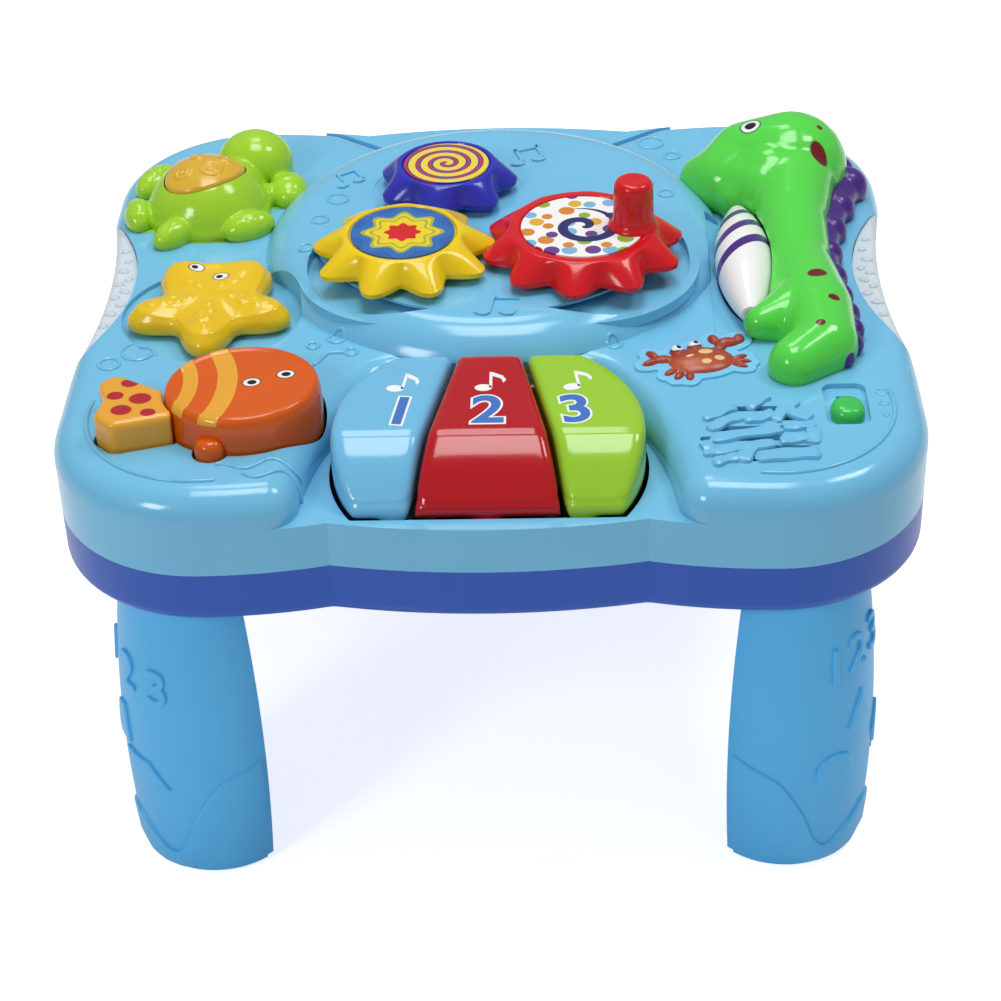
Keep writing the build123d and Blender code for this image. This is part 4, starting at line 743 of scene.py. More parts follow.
NUMERAL_FOOT, NOTE_RISE, NOTE_SHIFT = -86.5, 21.5, 5.0


class TABLE_OT_keys(bpy.types.Operator):
    """Model the three softly rounded keys and print a numeral and a note on each"""
    bl_idname = "table.keys"
    bl_label = "Keys"

    def execute(self, context):
        c = colours()
        outline = plastic("key print white", c.white, roughness=0.35, coat=0.05)
        ink = plastic("key print blue", c.print_blue, roughness=0.35, coat=0.05)
        film = sizes().print_film / MM
        for node, slot, rgb, numeral, x, lean in (
                ("left_key", "sky_key_plastic", c.key_sky, "1", -26.5, -0.14),
                ("middle_key", "red_key_plastic", c.key_red, "2", 0.0, 0.0),
                ("right_key", "lime_key_plastic", c.key_lime, "3", 26.5, 0.14)):
            key = softened(node, 0.65, 60)
            self.bow(key)
            gloss = plastic(node.replace("_", " ") + " gloss", rgb, roughness=0.14, coat=0.25)
            settle(key, node, slot, gloss, node, angle=70)
            top = skin_of(key.data)
            for ending, piece, finish in (("_outline", self.figure(numeral, x, lean, 1.1, film), outline),
                                          ("_numeral", self.figure(numeral, x, lean, 0.4, film * 2), ink),
                                          ("_note", self.note(x, lean, film), outline)):
                piece.name = node + ending
                settle(drape(piece, top), node, slot, finish)
        return {"FINISHED"}

    def bow(self, key):
        """Swells the sloping front of a key."""
        ridge, run, swell, sill = -91.0, 20.0, 1.7, 138.0
        for corner in key.data.vertices:
            y = corner.co.y / MM
            if y < ridge and corner.co.z > sill * MM:
                corner.co.z += swell * sin(pi * min(1.0, (ridge - y) / run)) * MM

    def figure(self, text, x, lean, swell, thick):
        """A printed numeral that leans with its key."""
        piece = lettering(text, sizes().numeral, swell, thick, 8)
        piece.location = (x * MM, NUMERAL_FOOT * MM, 0)
        piece.rotation_euler = (0, 0, lean)
        bpy.ops.object.transform_apply(location=True, rotation=True, scale=True)
        return seal(piece)

    def note(self, x, lean, thick):
        """A single quaver above the numeral."""
        head = ellipse(-1.5, -3, 2.6, 1.8, 24)
        stem = [(0.2, -3), (1.1, -3), (1.1, 5.5), (0.2, 5.5)]
        flag = [(1.0, 5.5), (1.0, 3.4), (3.6, 2.0), (4.4, -0.4), (5.2, 1.2), (4.2, 3.4)]
        place = (x - NOTE_SHIFT * sin(lean), NUMERAL_FOOT + NOTE_RISE)
        return join("key_note", [plate("note_part", turned(each, *place, lean), thick)
                                 for each in (head, stem, flag)])


STAR_AT, STAR_FIRST_ARM = (-88.5, -14.0), radians(-90)


class TABLE_OT_starfish(bpy.types.Operator):
    """Model the starfish that spins in its dish"""
    bl_idname = "table.starfish"
    bl_label = "Starfish"

    def execute(self, context):
        levels = [(0, 0, 144.1), (1, 1.6, 144.1), (1, 0.5, 144.5), (1, 0.0, 145.6), (1, 0.0, 147.4),
                  (1, 0.45, 148.8), (1, 1.3, 149.8), (1, 2.4, 150.3)]
        levels += [(0.88 - 0.88 * i / 30, 0, 150.4) for i in range(31)]
        star = pillow("starfish_skin", STAR_AT, self.reach, levels, 240, self.rise)
        apply(star, "SMOOTH", factor=0.5, iterations=4)
        gloss = plastic("starfish gloss", colours().star, roughness=0.2, coat=0.175)
        for x, y in ((-94.4, 1.4), (-86.1, -3.4)):
            eye(gloss, (x, y, 152.0), (2.4, 2.1, 4.5), (1.1, 1.1, 4.5), turn=-0.2, gaze=(-0.5, 0.1))
        settle(star, "starfish", "yellow_plastic", gloss, "starfish", angle=60)
        return {"FINISHED"}

    def arm(self, bearing):
        """1 along the middle of each arm and 0 between two arms."""
        return 0.5 + 0.5 * cos(5 * (bearing - STAR_FIRST_ARM))

    def reach(self, angle):
        """Five blunt arms, and a broad brow between the two that point back."""
        core, length, brow, half_brow = 17.2, 9.6, 4.6, radians(22)
        arm = self.arm(angle)
        return core + length * arm ** 1.05 + brow * exp(-((angle - pi / 2) / half_brow) ** 2) * (1 - arm)

    def rise(self, x, y, share):
        """A low crown with a ridge along each arm, a swollen brow and beads on the front arms."""
        if share > 0.95:
            return 0.0
        dx, dy = x - STAR_AT[0], y - STAR_AT[1]
        arm = self.arm(atan2(dy, dx))
        out = min(1.0, sqrt(dx * dx + dy * dy) / 16) ** 2
        lift = 2.6 * (1 - share ** 2) + 1.0 * out * arm ** 1.5 - 0.6 * out * (1 - arm)
        lift += 3.0 * exp(-((dy - 20.5) / 6.5) ** 2 - (dx / 13) ** 2)
        beads = ((6.5, 0.6, 1.6), (10.5, 1.9, 1.6), (11.5, -1.9, 1.6), (15.0, 1.1, 1.5), (16.5, -1.4, 1.4),
                 (19.5, 0.3, 1.4))
        for k in range(5):
            spots = turned([bead[:2] for bead in beads], 0, 0, STAR_FIRST_ARM + 2 * pi * k / 5)
            for (px, py), (_, _, radius) in zip(spots, beads):
                gap = ((dx - px) ** 2 + (dy - py) ** 2) / (radius * radius)
                lift += 0.55 * max(0.0, 1 - gap) if dy < 8 else 0.0
        return lift


# turtle: the shell's middle, half sizes and turn, and the ball that its back is part of

TURTLE_AT = (-97.0, 54.0)
SHELL_LENGTH, SHELL_WIDTH, SHELL_TURN, SHELL_GAP = 14.3, 11.3, radians(40), 0.4
BACK_MIDDLE, BACK_RADIUS = 142.4, 21.2


class TABLE_OT_turtle(bpy.types.Operator):
    """Model the turtle and its press-down shell"""
    bl_idname = "table.turtle"
    bl_label = "Turtle"

    def execute(self, context):
        c = colours()
        body = self.body()
        lime = plastic("turtle gloss", c.turtle, roughness=0.18, coat=0.2)
        for x, y, z in ((-79.0, 85.2, 159.8), (-90.6, 86.4, 156.4)):
            daub(lime, (x, y, z), (2.7, 2.7, 2.7), c.white)
            daub(lime, (x + 0.2, y + 0.3, z + 0.8), (1.8, 1.8, 1.8), c.ink)
        settle(body, "casing", "turtle_green_plastic", lime, "turtle_body", angle=60)
        levels = [(0, 0, -9.0), (1, 0.3, -5.0), (1, 0, -4.5), (1, 0, -0.6), (1, 0.15, -0.25), (1, 0.5, -0.05)]
        levels += [(0.96 - 0.96 * i / 44, 0, 0.0) for i in range(45)]
        rim = oval(SHELL_LENGTH, SHELL_WIDTH, SHELL_TURN)
        shell = pillow("turtle_shell_skin", TURTLE_AT, rim, levels, 168, self.whorls)
        amber = plastic("shell amber", c.shell, roughness=0.2, coat=0.175)
        settle(shell, "shell_button", "amber_plastic", amber, "turtle_shell", angle=60)
        return {"FINISHED"}

    def body(self):
        """Back, head, neck and five flippers, with a hole for the shell."""
        lumps = [ball(*TURTLE_AT, BACK_MIDDLE, BACK_RADIUS, segments=48),
                 ball(*TURTLE_AT, 146.0, 21.4, 21.2, 8.0, segments=40),
                 ball(-83.0, 78.6, 150.6, 13.0, 12.4, 11.0, segments=40), ball(-87.5, 69.0, 147.5, 9.4)]
        for x, y, along, across, yaw in ((-70.6, 63.6, 9.6, 6.6, 95), (-81.6, 38.2, 9.4, 5.4, 33),
                                         (-106.0, 34.0, 8.8, 5.2, 52), (-119.6, 47.0, 8.2, 4.9, 98),
                                         (-116.6, 71.0, 10.0, 5.2, 60)):
            lumps.append(ball(x, y, 147.2, along, across, 5.4, radians(yaw)))
            inward = (x + (TURTLE_AT[0] - x) * 0.28, y + (TURTLE_AT[1] - y) * 0.28)
            lumps.append(ball(*inward, 146.4, 5.4, 5.4, 4.6))
        body = melt(join("turtle_skin", lumps), 0.55, 5)
        slice_below(body, DECK + 0.05)
        for corner in body.data.vertices:
            self.crease(corner)
        hole = oval(SHELL_LENGTH + SHELL_GAP, SHELL_WIDTH + SHELL_GAP, SHELL_TURN)
        return carve(body, pillow("shell_hole", TURTLE_AT, hole, slab(144.0, 175.0), 96))

    def whorls(self, x, y, share):
        """Height of the shell: the round of the back with four raised curls."""
        dx, dy = x - TURTLE_AT[0], y - TURTLE_AT[1]
        height = BACK_MIDDLE + sqrt((BACK_RADIUS + 0.3) ** 2 - dx * dx - dy * dy)
        along = dx * cos(SHELL_TURN) + dy * sin(SHELL_TURN)
        aside = dy * cos(SHELL_TURN) - dx * sin(SHELL_TURN)
        for px, py, radius in ((-8.2, 0.6, 3.4), (-0.4, -4.6, 4.2), (7.6, -1.4, 3.6), (0.8, 5.2, 3.2)):
            far = sqrt((along - px) ** 2 + (aside - py) ** 2)
            if far < radius:
                curl = atan2(aside - py, along - px) / (2 * pi)
                wave = 0.5 + 0.5 * cos(2 * pi * (far / radius * 2.0 - curl))
                height += 0.5 * wave * min(1.0, (radius - far) * 2)
        return height

    def crease(self, corner):
        """Shallow grooves along the outer half of each flipper, and none on the head."""
        start, foot, head = 22.5, 147.5, (38, 82)
        x, y, z = corner.co / MM
        dx, dy = x - TURTLE_AT[0], y - TURTLE_AT[1]
        far, bearing = sqrt(dx * dx + dy * dy), atan2(dy, dx)
        if far > start and z > foot and not head[0] < degrees(bearing) < head[1]:
            fade_in = min(1.0, (far - start) / 3)
            corner.co.z -= 0.35 * fade_in * (0.5 + 0.5 * cos(bearing * 44)) * MM


# fish: its middle, turn and half sizes, the heights of its foot and back, and its rim as inset and height

FISH_AT, FISH_TURN, FISH_LENGTH, FISH_WIDTH = (-72.5, -71.5), radians(12), 23.5, 21.5
FISH_FOOT, FISH_BACK = 140.0, 156.0
FISH_RIM = ((0.35, -3.0), (0.75, -1.4), (1.3, -0.5), (1.9, 0.0), (2.5, 0.1), (3.0, -0.02), (3.5, -0.22),
            (4.2, -0.26))


class TABLE_OT_fish(bpy.types.Operator):
    """Model the press-down fish with its inlaid stripes and spotted tail"""
    bl_idname = "table.fish"
    bl_label = "Fish"

    def execute(self, context):
        c = colours()
        orange = plastic("fish orange", c.orange, roughness=0.18, coat=0.2)
        for x, y in ((-69.5, -71.5), (-59.8, -67.1)):
            eye(orange, (x, y, FISH_BACK), (2.5, 2.0, 3.0), (1.4, 1.2, 3.0), turn=0.25, gaze=(0.1, 0.0))
        amber = plastic("fish amber", c.amber, roughness=0.18, coat=0.2)
        for x, y, radius in ((-106.0, -68.6, 2.3), (-109.4, -75.5, 2.2), (-101.8, -77.2, 2.9),
                             (-106.6, -83.2, 2.7), (-98.6, -84.6, 2.0)):
            daub(amber, (x, y, 154.5), (radius * 1.15, radius, 1.8), c.dot_red)
        settle(self.body(), "fish_button", "orange_plastic", orange, "fish_body", angle=45)
        settle(self.stripes(), "fish_button", "amber_plastic", amber, "fish_stripes", angle=40)
        settle(softened("fish_tail", 0.5, 20), "fish_button", "amber_plastic", amber, "fish_tail", angle=70)
        return {"FINISHED"}

    def body(self):
        """Straight-sided oval with a fine rim round its back, and the belly fin."""
        levels = slab(FISH_FOOT, 147.0)[:3] + [(1, 0.1, 150.5)]
        levels += [(1, inset, FISH_BACK + rise) for inset, rise in FISH_RIM]
        levels += [(0.8 - 0.1 * i, 0, FISH_BACK - 0.26 + 0.03 * i) for i in range(9)]
        back = pillow("fish_oval", FISH_AT, oval(FISH_LENGTH, FISH_WIDTH, FISH_TURN), levels, 144)
        fin = pillow("fish_fin", (-80.5, -92.0), lambda angle: 4.5,
                     slab(FISH_FOOT, 147.2)[:3] + [(1, 0.3, 148.4), (1, 1.0, 149.4), (1, 2.1, 149.95),
                                                   (0.3, 0, 150.1), (0, 0, 150.1)], 48)
        return join("fish_skin", [back, fin])

    def stripes(self):
        """Two inlaid bands, bowed towards the head, that run over the rim."""
        middle, sunk, margin, rows = (-119.0, -73.0), 0.25, 0.6, 6
        angles = [i / 2000 for i in range(-1700, 1701)]
        profile = (*FISH_RIM, (FISH_WIDTH, 0.0))

        def inset(x, y):
            dx, dy = x - FISH_AT[0], y - FISH_AT[1]
            along = dx * cos(FISH_TURN) + dy * sin(FISH_TURN)
            aside = dy * cos(FISH_TURN) - dx * sin(FISH_TURN)
            share = sqrt((along / FISH_LENGTH) ** 2 + (aside / FISH_WIDTH) ** 2)
            return (FISH_LENGTH + FISH_WIDTH) / 2 * (1 - share)

        def drop(depth):
            (da, za), (db, zb) = next(pair for pair in zip(profile, profile[1:]) if depth <= pair[1][0])
            return za + (zb - za) * (depth - da) / (db - da)

        def on_arc(radius, angle):
            return middle[0] + radius * cos(angle), middle[1] + radius * sin(angle)

        stripes = []
        for inner, outer in ((29.2, 33.8), (39.4, 45.4)):
            spans = []
            for row in range(rows + 1):
                radius = inner + (outer - inner) * row / rows
                held = [angle for angle in angles if inset(*on_arc(radius, angle)) > margin]
                spans.append((radius, held[0], held[-1]))

            def place(u, v):
                radius, first, last = spans[round(v * rows)]
                x, y = on_arc(radius, first + (last - first) * u)
                return (x, y, FISH_BACK + drop(inset(x, y)) - sunk)

            stripe = grid("fish_stripe", 90, rows, place)
            apply(stripe, "SOLIDIFY", thickness=0.7 * MM, offset=0.0)
            stripes.append(apply(stripe, "BEVEL", width=0.14 * MM, segments=2, limit_method="ANGLE"))
        return seal(join("fish_stripes_skin", stripes))


# belly roller: its axis, its ends, the radius there and how much wider its middle is

ROLLER_X, ROLLER_Z, ROLLER_LOW, ROLLER_HIGH = 80.2, 150.5, -28.8, 36.0
ROLLER_END, ROLLER_SWELL = 3.0, 6.2


def roller_radius(share):
    """The roller's radius at a share of its length."""
    return ROLLER_END + ROLLER_SWELL * (1 - (2 * share - 1) ** 2)


class TABLE_OT_seahorse(bpy.types.Operator):
    """Model the seahorse, its back fin and the banded roller"""
    bl_idname = "table.seahorse"
    bl_label = "Seahorse"

    def execute(self, context):
        c = colours()
        trunk = [(99.5, 50, 153.5, 14), (97, 28, 151.5, 12), (97.4, 2, 149.5, 10.8),
                 (100.6, -25, 149.5, 11.6), (101.5, -44, 148.5, 10.5), (91.5, -53.5, 148, 8.3)]
        face = [(99.5, 61.5, 153.4, 19.4), (86, 63, 153.8, 15.4), (78, 57, 151, 13), (71, 61, 150, 8.8)]
        jaw = [(99.5, 54, 152, 14), (82, 46, 150.5, 8.5)]
        flank = [(97, 20, 147, 11), (94, 2, 146, 11), (96, -22, 146, 12), (101, -40, 146, 10)]
        belly = [(98, -22, 148.5, 11.5), (90.5, -28, 148.5, 8.8), (83.0, -31.4, 149.2, 5.6)]
        lumps = limb(trunk) + limb(face) + limb(jaw) + limb(flank) + limb(belly)
        cheek = ((90, 55, 154, 13), (86, 50, 152.5, 11.5), (90, 46, 153, 12), (93, 51, 154, 14))
        lumps += [ball(*lump) for lump in cheek]
        body = melt(join("seahorse_skin", lumps), 0.7, 34)
        slice_below(body, DECK + 0.05)
        carve(body, self.barrel("roller_room", 0.7))
        green = plastic("seahorse gloss", c.seahorse, roughness=0.15, coat=0.25)
        for centre, radii in (((107.2, 49.0, 163), (3.0, 4.2, 8)), ((108.3, 58.5, 167), (1.3, 1.4, 5)),
                              ((100.8, -21.0, 161), (3.2, 2.4, 5)), ((104.8, -33.6, 159), (1.9, 1.6, 5)),
                              ((99.6, -46.5, 158), (1.5, 1.4, 5))):
            daub(green, centre, radii, c.maroon, turn=0.3)
        eye(green, (85.7, 61.6, 169.0), (3.1, 3.3, 6.0), (1.9, 2.0, 6.0))
        eye(green, (85.7, 79.0, 160.0), (3.4, 4.0, 5.0), (2.1, 3.6, 3.0))
        settle(body, "casing", "seahorse_green_plastic", green, "seahorse_body", angle=70)
        purple = plastic("fin purple", c.purple, roughness=0.28, coat=0.125)
        settle(self.fin(), "casing", "purple_plastic", purple, "seahorse_fin", angle=70)
        settle(self.lip(), "casing", "pale_blue_plastic", casing_blue("trough lip blue"), angle=50)
        settle(self.barrel("belly_roller_skin", 0.0), "belly_roller", "white_plastic", self.roller_finish(),
               "belly_roller", angle=60)
        return {"FINISHED"}

    def barrel(self, name, grow):
        """The roller's spindle shape, grown all round."""
        low, high, rows, around = ROLLER_LOW - grow, ROLLER_HIGH + grow, 32, 48
        loops = []
        for row in range(rows + 1):
            share = row / rows
            radius = roller_radius(share) + grow
            y = low + (high - low) * share
            loops.append([(x, y, z) for x, z in ellipse(ROLLER_X, ROLLER_Z, radius, radius, around)])
        ends = [[(ROLLER_X, y, ROLLER_Z)] * around for y in (low, high)]
        return rings(name, ends[:1] + loops + ends[1:])

    def lip(self):
        """The deck's edge round the roller, which leaves it a narrow gap."""
        low, high, side, gap, thick = -30.55, 37.55, 69.45, 1.0, 1.2
        beside, past = 72.0, 89.0

        def deck(x, y):
            from_edge = DAIS_FOOT - sqrt(x * x + (y - DAIS_AT[1]) ** 2)
            return DECK + DAIS_RISE * min(1.0, max(0.0, from_edge / DAIS_SLOPE))

        def place(u, v):
            y = low + (high - low) * u
            share = min(1.0, max(0.0, (y - ROLLER_LOW) / (ROLLER_HIGH - ROLLER_LOW)))
            radius = roller_radius(share) + gap
            depth = ROLLER_Z - deck(beside, y)
            edge = ROLLER_X - sqrt(radius ** 2 - depth ** 2) if radius > depth else past
            x = side + (max(edge, side + 0.3) - side) * v
            return (x, y, deck(x, y) - thick / 2 - 0.02)

        return apply(grid("roller_trough_lip", 120, 4, place), "SOLIDIFY", thickness=thick * MM, offset=0.0)

    def fin(self):
        """A scalloped crest that dwindles down the back."""
        middle = 147.6
        bumps = [(116.4, 68.5, 5.8), (118.4, 57.5, 7.2), (113.6, 42.5, 6.2), (109.8, 27.5, 5.8),
                 (107.4, 12.0, 5.4), (107.6, -3.0, 5.2), (108.8, -14.5, 4.7), (110.2, -25.0, 4.3),
                 (110.8, -34.2, 4.0), (110.0, -42.5, 3.7), (106.8, -49.6, 3.5)]
        lumps = [ball(x, y, middle, r, r * 0.95, r * 1.05, segments=24) for x, y, r in bumps]
        lumps += limb([(x - 1.2, y, middle, r * 0.9) for x, y, r in bumps], spacing=1.6)
        fin = melt(join("seahorse_fin_skin", lumps), 0.5, 10)
        return slice_below(fin, DECK + 0.05)

    def roller_finish(self):
        """White with three slanted purple bands in its upper half."""
        c = colours()
        white = plastic("roller white", c.white, roughness=0.22, coat=0.15, mottle=0.02)
        tree = white.node_tree
        parts = tree.nodes.new("ShaderNodeSeparateXYZ")
        tree.links.new(coordinates(tree), parts.inputs[0])
        across = maths(tree, "SUBTRACT", parts.outputs["X"], ROLLER_X * MM)
        slant = maths(tree, "SUBTRACT", parts.outputs["Y"], maths(tree, "MULTIPLY", across, 0.75))
        for centre in (26.0, 14.0, 2.0):
            gap = maths(tree, "ABSOLUTE", maths(tree, "SUBTRACT", slant, centre * MM))
            repaint(tree, mix(tree, fade(tree, gap, 2.6 * MM, 2.3 * MM), painted(tree), c.purple))
        return white


class TABLE_OT_crab(bpy.types.Operator):
    """Model the crab relief and its raised border"""
    bl_idname = "table.crab"
    bl_label = "Crab"

    def execute(self, context):
        c = colours()
        rust, sand, painted_glint = tint("BC5A34"), tint("EBC884"), tint("F3D9C0")
        crab = melt(join("crab_skin", self.lumps(0.0)), 0.3, 3)
        slice_below(crab, DECK + 0.02)
        red = plastic("crab red", c.crab, roughness=0.32, coat=0.1, mottle=0.2)
        daub(red, (61.5, -50.5), (8.5, 3.2), rust, turn=0.12, soft=0.7)
        for x, y in ((57.0, -42.4), (62.3, -39.9)):
            eye(red, (x, y), (1.9, 1.4), (0.8, 0.8), turn=0.2, gaze=(0.4, -0.1))
        for x, y, radius in ((65.4, -45.0, 2.2), (69.5, -48.2, 1.6), (65.5, -50.3, 1.5)):
            daub(red, (x, y), (radius, radius * 0.7), sand, turn=0.2)
        # painted highlight: a small pale oval by the crab's mouth, where a glint would fall
        daub(red, (60.6, -47.4), (1.2, 0.5), painted_glint, turn=0.4)
        settle(crab, "casing", "crab_red_plastic", red, "crab_badge", angle=70)
        margin, height = 2.2, 0.8
        border = melt(join("crab_border", self.lumps(margin)), 0.5, 6)
        slice_below(border, DECK - 0.3)
        for corner in border.data.vertices:
            corner.co.z = min(corner.co.z, (DECK + height) * MM)
        pale = plastic("crab border blue", shade(c.pale_blue, 1.12), roughness=0.2, coat=0.2)
        settle(border, "casing", "pale_blue_plastic", pale, angle=50)
        return {"FINISHED"}

    def lumps(self, grow):
        """Oval back, stalked eyes, an open claw, a folded claw and stubby legs, grown all round."""
        shapes = [(64.0, -47.2, 10.6, 7.6, 3.0, 0.12), (56.9, -42.4, 2.5, 2.4, 3.2, 0),
                  (62.4, -40.0, 2.5, 2.4, 3.2, 0), (52.6, -46.6, 3.6, 2.2, 2.2, 0.1),
                  (49.4, -44.2, 3.2, 1.6, 2.1, -0.9), (48.8, -48.2, 3.4, 1.6, 2.1, 0.5),
                  (70.0, -40.4, 2.6, 2.0, 2.3, 0.9), (72.4, -37.4, 4.4, 2.5, 2.6, 0.2),
                  (68.3, -35.6, 1.9, 2.8, 2.4, 0.3), (76.0, -35.4, 2.1, 2.9, 2.4, -0.3),
                  (75.6, -45.8, 3.3, 1.2, 1.8, 0.5), (76.4, -48.0, 3.3, 1.2, 1.8, 0.0),
                  (75.6, -50.2, 3.0, 1.2, 1.8, -0.4), (54.6, -53.6, 3.0, 1.5, 1.9, 0.8),
                  (57.0, -55.6, 2.9, 1.5, 1.9, 1.1), (60.2, -56.0, 2.7, 1.5, 1.9, 1.5)]
        return [ball(x, y, DECK, a + grow, b + grow, h + grow, yaw, segments=24)
                for x, y, a, b, h, yaw in shapes]


class TABLE_OT_grille(bpy.types.Operator):
    """Model the driftwood boards round the speaker slots"""
    bl_idname = "table.grille"
    bl_label = "Speaker grille"

    def execute(self, context):
        c = colours()
        pale = plastic("grille pale blue", c.pale_blue, roughness=0.18, coat=0.2)
        boards = []
        for start, end, wide in (((62.6, -79.0), (73.4, -72.6), 1.3), ((63.6, -84.0), (75.0, -77.0), 1.6),
                                 ((74.4, -79.6), (84.4, -76.6), 1.8), ((76.0, -73.6), (82.8, -66.8), 1.4),
                                 ((83.2, -80.4), (90.6, -69.6), 1.6), ((87.6, -74.4), (94.4, -79.8), 1.8),
                                 ((63.8, -89.4), (86.4, -84.6), 1.7), ((85.6, -84.2), (95.6, -82.2), 1.5),
                                 ((63.0, -96.0), (84.0, -92.0), 1.6), ((84.0, -91.2), (95.4, -88.6), 1.7),
                                 ((64.2, -101.6), (73.2, -98.2), 1.5), ((73.0, -101.4), (75.8, -91.0), 2.0),
                                 ((76.4, -98.6), (96.0, -97.2), 2.2), ((63.2, -90.0), (64.0, -98.2), 1.5),
                                 ((94.8, -84.0), (93.6, -92.6), 1.5)):
            boards.append(self.board(start, end, wide))
        settle(join("grille_boards", boards), "casing", "pale_blue_plastic", pale, angle=40)
        return {"FINISHED"}

    def board(self, start, end, wide):
        """A raised plank with blunt ends and a worn, uneven edge."""
        height, spread, bowed, worn, rows, around = 1.3, 1.3, 0.3, 0.1, 16, 16
        run = Vector(end) - Vector(start)
        ahead = run.normalized()
        aside = Vector((-ahead.y, ahead.x))
        loops = []
        for row in range(rows + 1):
            share = 2 * row / rows - 1
            full = (1 - share ** 10) ** 0.5
            middle = Vector(start) + run * (row / rows) + aside * bowed * sin(share * 3 + start[0])
            half = spread * wide * full * (1 + worn * sin(share * 6 + start[1])) + 0.02
            rise = (height + 0.15 * sin(share * 5 + start[1] * 2)) * full + 0.02
            loop = []
            for across, up in ellipse(0, 0, 1, 1, around):
                square = max(abs(across), abs(up)) ** 0.6
                flat = middle + aside * half * across / square
                loop.append((flat.x, flat.y, DECK + rise * up / square * (0.9 if up > 0 else 0.4)))
            loops.append(loop)
        return rings("grille_board", [[(*start, DECK)] * around] + loops + [[(*end, DECK)] * around])


class TABLE_OT_switch(bpy.types.Operator):
    """Model the slide switch's rounded knob and mark its three places"""
    bl_idname = "table.switch"
    bl_label = "Slide switch"

    def execute(self, context):
        c = colours()
        low, high = ([value / MM for value in corner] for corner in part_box("power_switch_knob"))
        centre = ((low[0] + high[0]) / 2, (low[1] + high[1]) / 2)
        half = ((high[0] - low[0]) / 2, (high[1] - low[1]) / 2)
        square, shrink = 2.3, 1.9

        def reach(angle):
            across, along = abs(cos(angle) / half[0]), abs(sin(angle) / half[1])
            return (across ** square + along ** square) ** (-1 / square)

        foot, crown = low[2], high[2] - shrink
        levels = slab(foot, crown - 2.6)[:3]
        levels += [(1, 0.2, crown - 1.7), (1, 0.6, crown - 0.9), (1, 1.2, crown - 0.35),
                   (1, 2.0, crown - 0.05), (0.45, 0, crown + 0.15), (0.2, 0, crown + 0.2),
                   (0, 0, crown + 0.2)]
        knob = pillow("power_knob_skin", centre, reach, levels, 72)
        green = plastic("switch green", c.switch, roughness=0.22, coat=0.175)
        settle(knob, "power_switch", "switch_green_plastic", green, "power_switch_knob", angle=60)
        marks = []
        for i, y in enumerate((-77.0, -71.0, -65.0)):
            radius = 0.9 + 0.35 * i
            ring = [(px, py, DECK) for px, py in ellipse(116.5, y, radius, radius, 28)]
            marks.append(tube("switch_mark", ring, 0.35, closed=True, sides=8))
        pale = plastic("switch mark blue", c.pale_blue, roughness=0.2, coat=0.2)
        settle(join("switch_marks", marks), "casing", "pale_blue_plastic", pale)
        return {"FINISHED"}


# in millimetres: the radius on which arcs round a leg are measured, and one well outside the leg

LEG_ROUND, LEG_CLEAR = 26.5, 60.0


